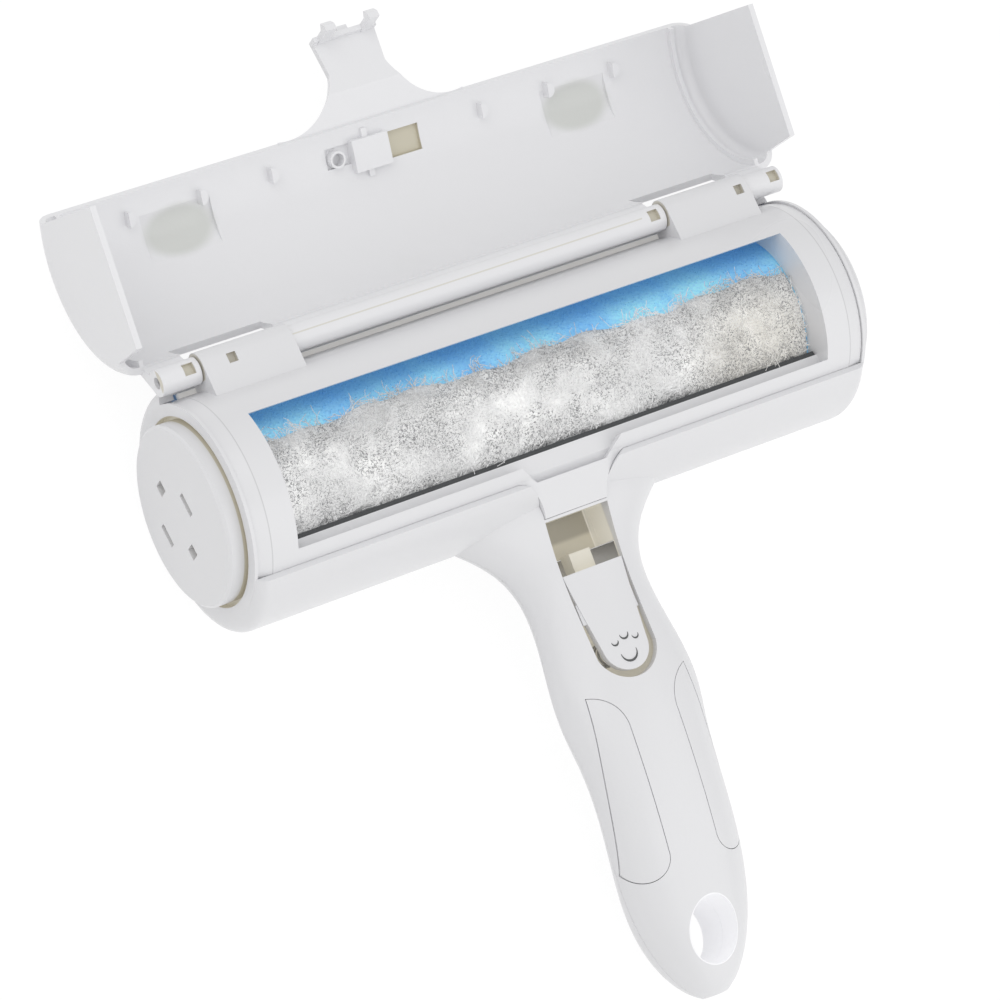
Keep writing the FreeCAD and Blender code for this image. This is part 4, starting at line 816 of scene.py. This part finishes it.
# The nap's height, and how fast it rises and falls along X and round the drum.
NAP = 0.05
NAP_RATES = (1.9, 0.11)
NAP_DRIFT = (0.05, 0.23)
NAP_SWAY = 3

SLEEVE_GRID = (220, 70)
SLEEVE_DEPTH = 1 * MM
PILE_VALUES = {"Length": 0.0005, "Width": 0.00012, "Curl": 0.0, "Steps": 1,
               "Lean Low": (-0.3, -1.3, 0.0), "Lean High": (0.3, -0.7, FULL_TURN)}


def sunk(distance):
    """How far a sleeve's edge rolls in at a distance from it."""
    return EDGE_SINK * max(0.0, 1 - distance / EDGE_ROLL) ** 2


class BRUSH_OT_velvet(bpy.types.Operator):
    """Wrap the drum in two sleeves of velvet with a short pile"""

    bl_idname = "brush.velvet"
    bl_label = "Velvet"

    def execute(self, context):
        look = context.scene.brush_fur
        cloth = velvet_material()
        tree = FurTree("velvet_pile", cloth)
        for name, node, start in (("velvet_sleeve_front", "velvet_front", 90),
                                  ("velvet_sleeve_rear", "velvet_rear", -90)):
            sleeve = new_object(name, grid_mesh(name, *SLEEVE_GRID, self.rule(start)), cloth)
            pile = grow(sleeve, name.replace("sleeve", "pile"), tree, {"Hairs": look.tufts, **PILE_VALUES})
            thicken(sleeve, SLEEVE_DEPTH)
            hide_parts(node)
            for piece in (sleeve, pile):
                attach(piece, "drum")
        return {"FINISHED"}

    def rule(self, start):
        """Where the points of one half sleeve lie: round the drum, rolled in at its edges."""
        def point(share_x, share_turn):
            angle = start + PILE_SEAM + (180 - 2 * PILE_SEAM) * (1 - share_turn)
            rim = min(share_turn, 1 - share_turn) * 180 * ARC_PER_DEGREE + EDGE_START
            end = min(share_x, 1 - share_x) * 2 * PILE_HALF + EDGE_START
            x = PILE_HALF * (2 * share_x - 1)
            nap = NAP * math.sin(x * NAP_RATES[0] + NAP_SWAY * math.sin(angle * NAP_RATES[1]))
            nap *= math.sin(angle * NAP_DRIFT[1] + x * NAP_DRIFT[0])
            radius = PILE_RADIUS - SLEEVE_SINK - (sunk(rim) + sunk(end)) + nap
            turn = math.radians(angle)
            return at_head(x, radius * math.cos(turn), radius * math.sin(turn) + DRUM_IN_HEAD)
        return point


# The paw mark in head millimetres: centre, radius and thickness of each bead; each dark bead is the painted
# shadow of an engraved crescent.
PAW = (((-2.8, -67.4), 0.95, 0.24), ((0.4, -66.2), 1.25, 0.26), ((3.5, -67.3), 1.0, 0.22),
       ((-0.1, -71.0), 2.35, 0.31))
BEAD_ARC = (178, 368)
BEAD_STEPS = 16
BEAD_TIP = 0.25
BEAD_SHADOW_TONE = (0.10, 0.105, 0.105)
RAY_START = 40


def on_button(x, y):
    """The point of the button's face at a place on the handle."""
    down = (at_head(0, 0, 0) - at_head(0, 0, 1)).normalized()
    hit = frame["nodes"]["release_button"].ray_cast(at_head(x, y, RAY_START), down)
    if not hit[0]:
        raise RuntimeError("The paw mark misses the button at %.1f, %.1f" % (x, y))
    return hit[1]


def crescent(centre, radius, thick):
    """A bead that follows part of a circle on the button's face and thins to its ends."""
    curve = bpy.data.curves.new("crescent", "CURVE")
    curve.dimensions = "3D"
    curve.bevel_depth = thick * MM
    curve.bevel_resolution = 2
    curve.use_fill_caps = True
    spline = curve.splines.new("POLY")
    spline.points.add(BEAD_STEPS - 1)
    start, end = BEAD_ARC
    for number in range(BEAD_STEPS):
        share = number / (BEAD_STEPS - 1)
        angle = math.radians(start + (end - start) * share)
        point = on_button(centre[0] + radius * math.cos(angle), centre[1] + radius * math.sin(angle))
        spline.points[number].co = (*point, 1)
        spline.points[number].radius = BEAD_TIP + (1 - BEAD_TIP) * math.sin(math.pi * share)
    return curve


class BRUSH_OT_paw(bpy.types.Operator):
    """Lay the paw mark on the button: dark beads, the painted shadow of its engraved crescents"""

    bl_idname = "brush.paw"
    bl_label = "Paw mark"

    def execute(self, context):
        work = bmesh.new()
        for bead in PAW:
            holder = bpy.data.objects.new("crescent", crescent(*bead))
            context.scene.collection.objects.link(holder)
            context.view_layer.update()
            graph = context.evaluated_depsgraph_get()
            mesh = bpy.data.meshes.new_from_object(holder.evaluated_get(graph))
            work.from_mesh(mesh)
            bpy.data.objects.remove(holder)
            bpy.data.meshes.remove(mesh)
        joined = bpy.data.meshes.new("paw_mark")
        work.to_mesh(joined)
        work.free()
        mark = new_object("paw_mark", joined, plain_material("mark_shadow", BEAD_SHADOW_TONE, 0.6))
        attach(mark, "button")
        return {"FINISHED"}


# The view, as turns from the head frame to the camera, and its offset in millimetres.
VIEW_TURN = (-1.5027, 27.0705, 20.602)
VIEW_OFFSET = (2.9405, 25.2285, -1106.4425)

# The studio: lamps in head millimetres with their sizes in metres, and the floor in metres.
KEY_PLACE = (260, -560, 480)
KEY_SIZE = 1.1
SIDE_PLACE = (-340, 320, 600)
SIDE_SIZE = 0.9
SIDE_SHARE = 0.7
FLOOR_SIZE = 12
FLOOR_TONE = (0.86, 0.86, 0.86, 1)
FLOOR_GLOW = 1.06
FLOOR_GLOW_SHARE = 0.88


def camera_matrix():
    """The camera's place in the row frame."""
    pitch, yaw, roll = (math.radians(angle) for angle in VIEW_TURN)
    to_camera = Matrix.Rotation(roll, 3, "Z") @ Matrix.Rotation(pitch, 3, "X") @ Matrix.Rotation(yaw, 3, "Y")
    back = to_camera.transposed()
    place = HEAD @ (back @ -Vector(VIEW_OFFSET))
    head_turn = HEAD.to_3x3().normalized()
    return Matrix.Translation(place) @ (head_turn @ back).to_4x4()


class BRUSH_OT_stage(bpy.types.Operator):
    """Set the floor, the lamps, the sky and the camera"""

    bl_idname = "brush.stage"
    bl_label = "Studio"

    def execute(self, context):
        look = context.scene.brush_studio
        self.add_floor()
        self.add_lamp("key", at_head(*KEY_PLACE), KEY_SIZE, look.key)
        self.add_lamp("side", at_head(*SIDE_PLACE), SIDE_SIZE, look.key * SIDE_SHARE)
        self.add_sky(look.fill)
        lens = bpy.data.cameras.new("view")
        lens.sensor_width = 36
        lens.lens = look.focal
        lens.clip_start, lens.clip_end = 0.1, 20
        camera = bpy.data.objects.new("view", lens)
        camera.matrix_world = camera_matrix()
        context.scene.collection.objects.link(camera)
        context.scene.camera = camera
        context.scene.view_settings.view_transform = "Standard"
        return {"FINISHED"}

    def add_floor(self):
        mesh = grid_mesh("floor", 1, 1, lambda x, y: Vector((x - 0.5, y - 0.5, 0)) * FLOOR_SIZE)
        floor = bpy.data.objects.new("floor", mesh)
        shader = Shader("pale_floor")
        shader.set(Base_Color=FLOOR_TONE, Roughness=0.8)
        light = shader.node("ShaderNodeEmission", {}, {"Color": (1, 1, 1, 1), "Strength": FLOOR_GLOW})
        rays = shader.tree.nodes.new("ShaderNodeLightPath")
        camera, glossy, passing = [Value(shader, rays.outputs["Is %s Ray" % kind])
                                   for kind in ("Camera", "Glossy", "Transmission")]
        seen = (camera + glossy + passing) * FLOOR_GLOW_SHARE
        mixer = shader.tree.nodes.new("ShaderNodeMixShader")
        shader.feed(mixer.inputs[0], seen)
        shader.tree.links.new(shader.surface.outputs[0], mixer.inputs[1])
        shader.tree.links.new(light.socket, mixer.inputs[2])
        shader.tree.links.new(mixer.outputs[0], shader.output.inputs["Surface"])
        floor.data.materials.append(shader.material)
        bpy.context.scene.collection.objects.link(floor)

    def add_lamp(self, name, place, size, power):
        data = bpy.data.lights.new(name, "AREA")
        data.shape = "SQUARE"
        data.size = size
        data.energy = power
        lamp = bpy.data.objects.new(name, data)
        lamp.location = place
        lamp.rotation_euler = (at_head(0, 0, 0) - place).to_track_quat("-Z", "Y").to_euler()
        bpy.context.scene.collection.objects.link(lamp)

    def add_sky(self, strength):
        world = bpy.data.worlds.new("sky")
        world.use_nodes = True
        background = world.node_tree.nodes["Background"]
        background.inputs["Color"].default_value = (1, 1, 1, 1)
        background.inputs["Strength"].default_value = strength
        bpy.context.scene.world = world


class BRUSH_PT_panel(bpy.types.Panel):
    """Lists the steps that dress the brush"""

    bl_label = "Pet Hair Brush"
    bl_idname = "BRUSH_PT_panel"
    bl_space_type = "VIEW_3D"
    bl_region_type = "UI"
    bl_category = "Hair Brush"

    def draw(self, context):
        for operator in OPERATORS:
            self.layout.operator(operator.bl_idname)
        for group in (context.scene.brush_shell, context.scene.brush_fur, context.scene.brush_studio):
            for key in group.__annotations__:
                self.layout.prop(group, key)


GROUPS = (ShellLook, FurLook, StudioLook)
OPERATORS = (BRUSH_OT_shell, BRUSH_OT_works, BRUSH_OT_velvet, BRUSH_OT_fur, BRUSH_OT_paw, BRUSH_OT_stage)


def register():
    for item in (*GROUPS, *OPERATORS, BRUSH_PT_panel):
        bpy.utils.register_class(item)
    bpy.types.Scene.brush_shell = PointerProperty(type=ShellLook)
    bpy.types.Scene.brush_fur = PointerProperty(type=FurLook)
    bpy.types.Scene.brush_studio = PointerProperty(type=StudioLook)


def unregister():
    del bpy.types.Scene.brush_shell
    del bpy.types.Scene.brush_fur
    del bpy.types.Scene.brush_studio
    for item in reversed((*GROUPS, *OPERATORS, BRUSH_PT_panel)):
        bpy.utils.unregister_class(item)


def main():
    register()
    bpy.ops.brush.shell()
    bpy.ops.brush.works()
    bpy.ops.brush.velvet()
    bpy.ops.brush.fur()
    bpy.ops.brush.paw()
    bpy.ops.brush.stage()


if __name__ == "__main__":
    main()
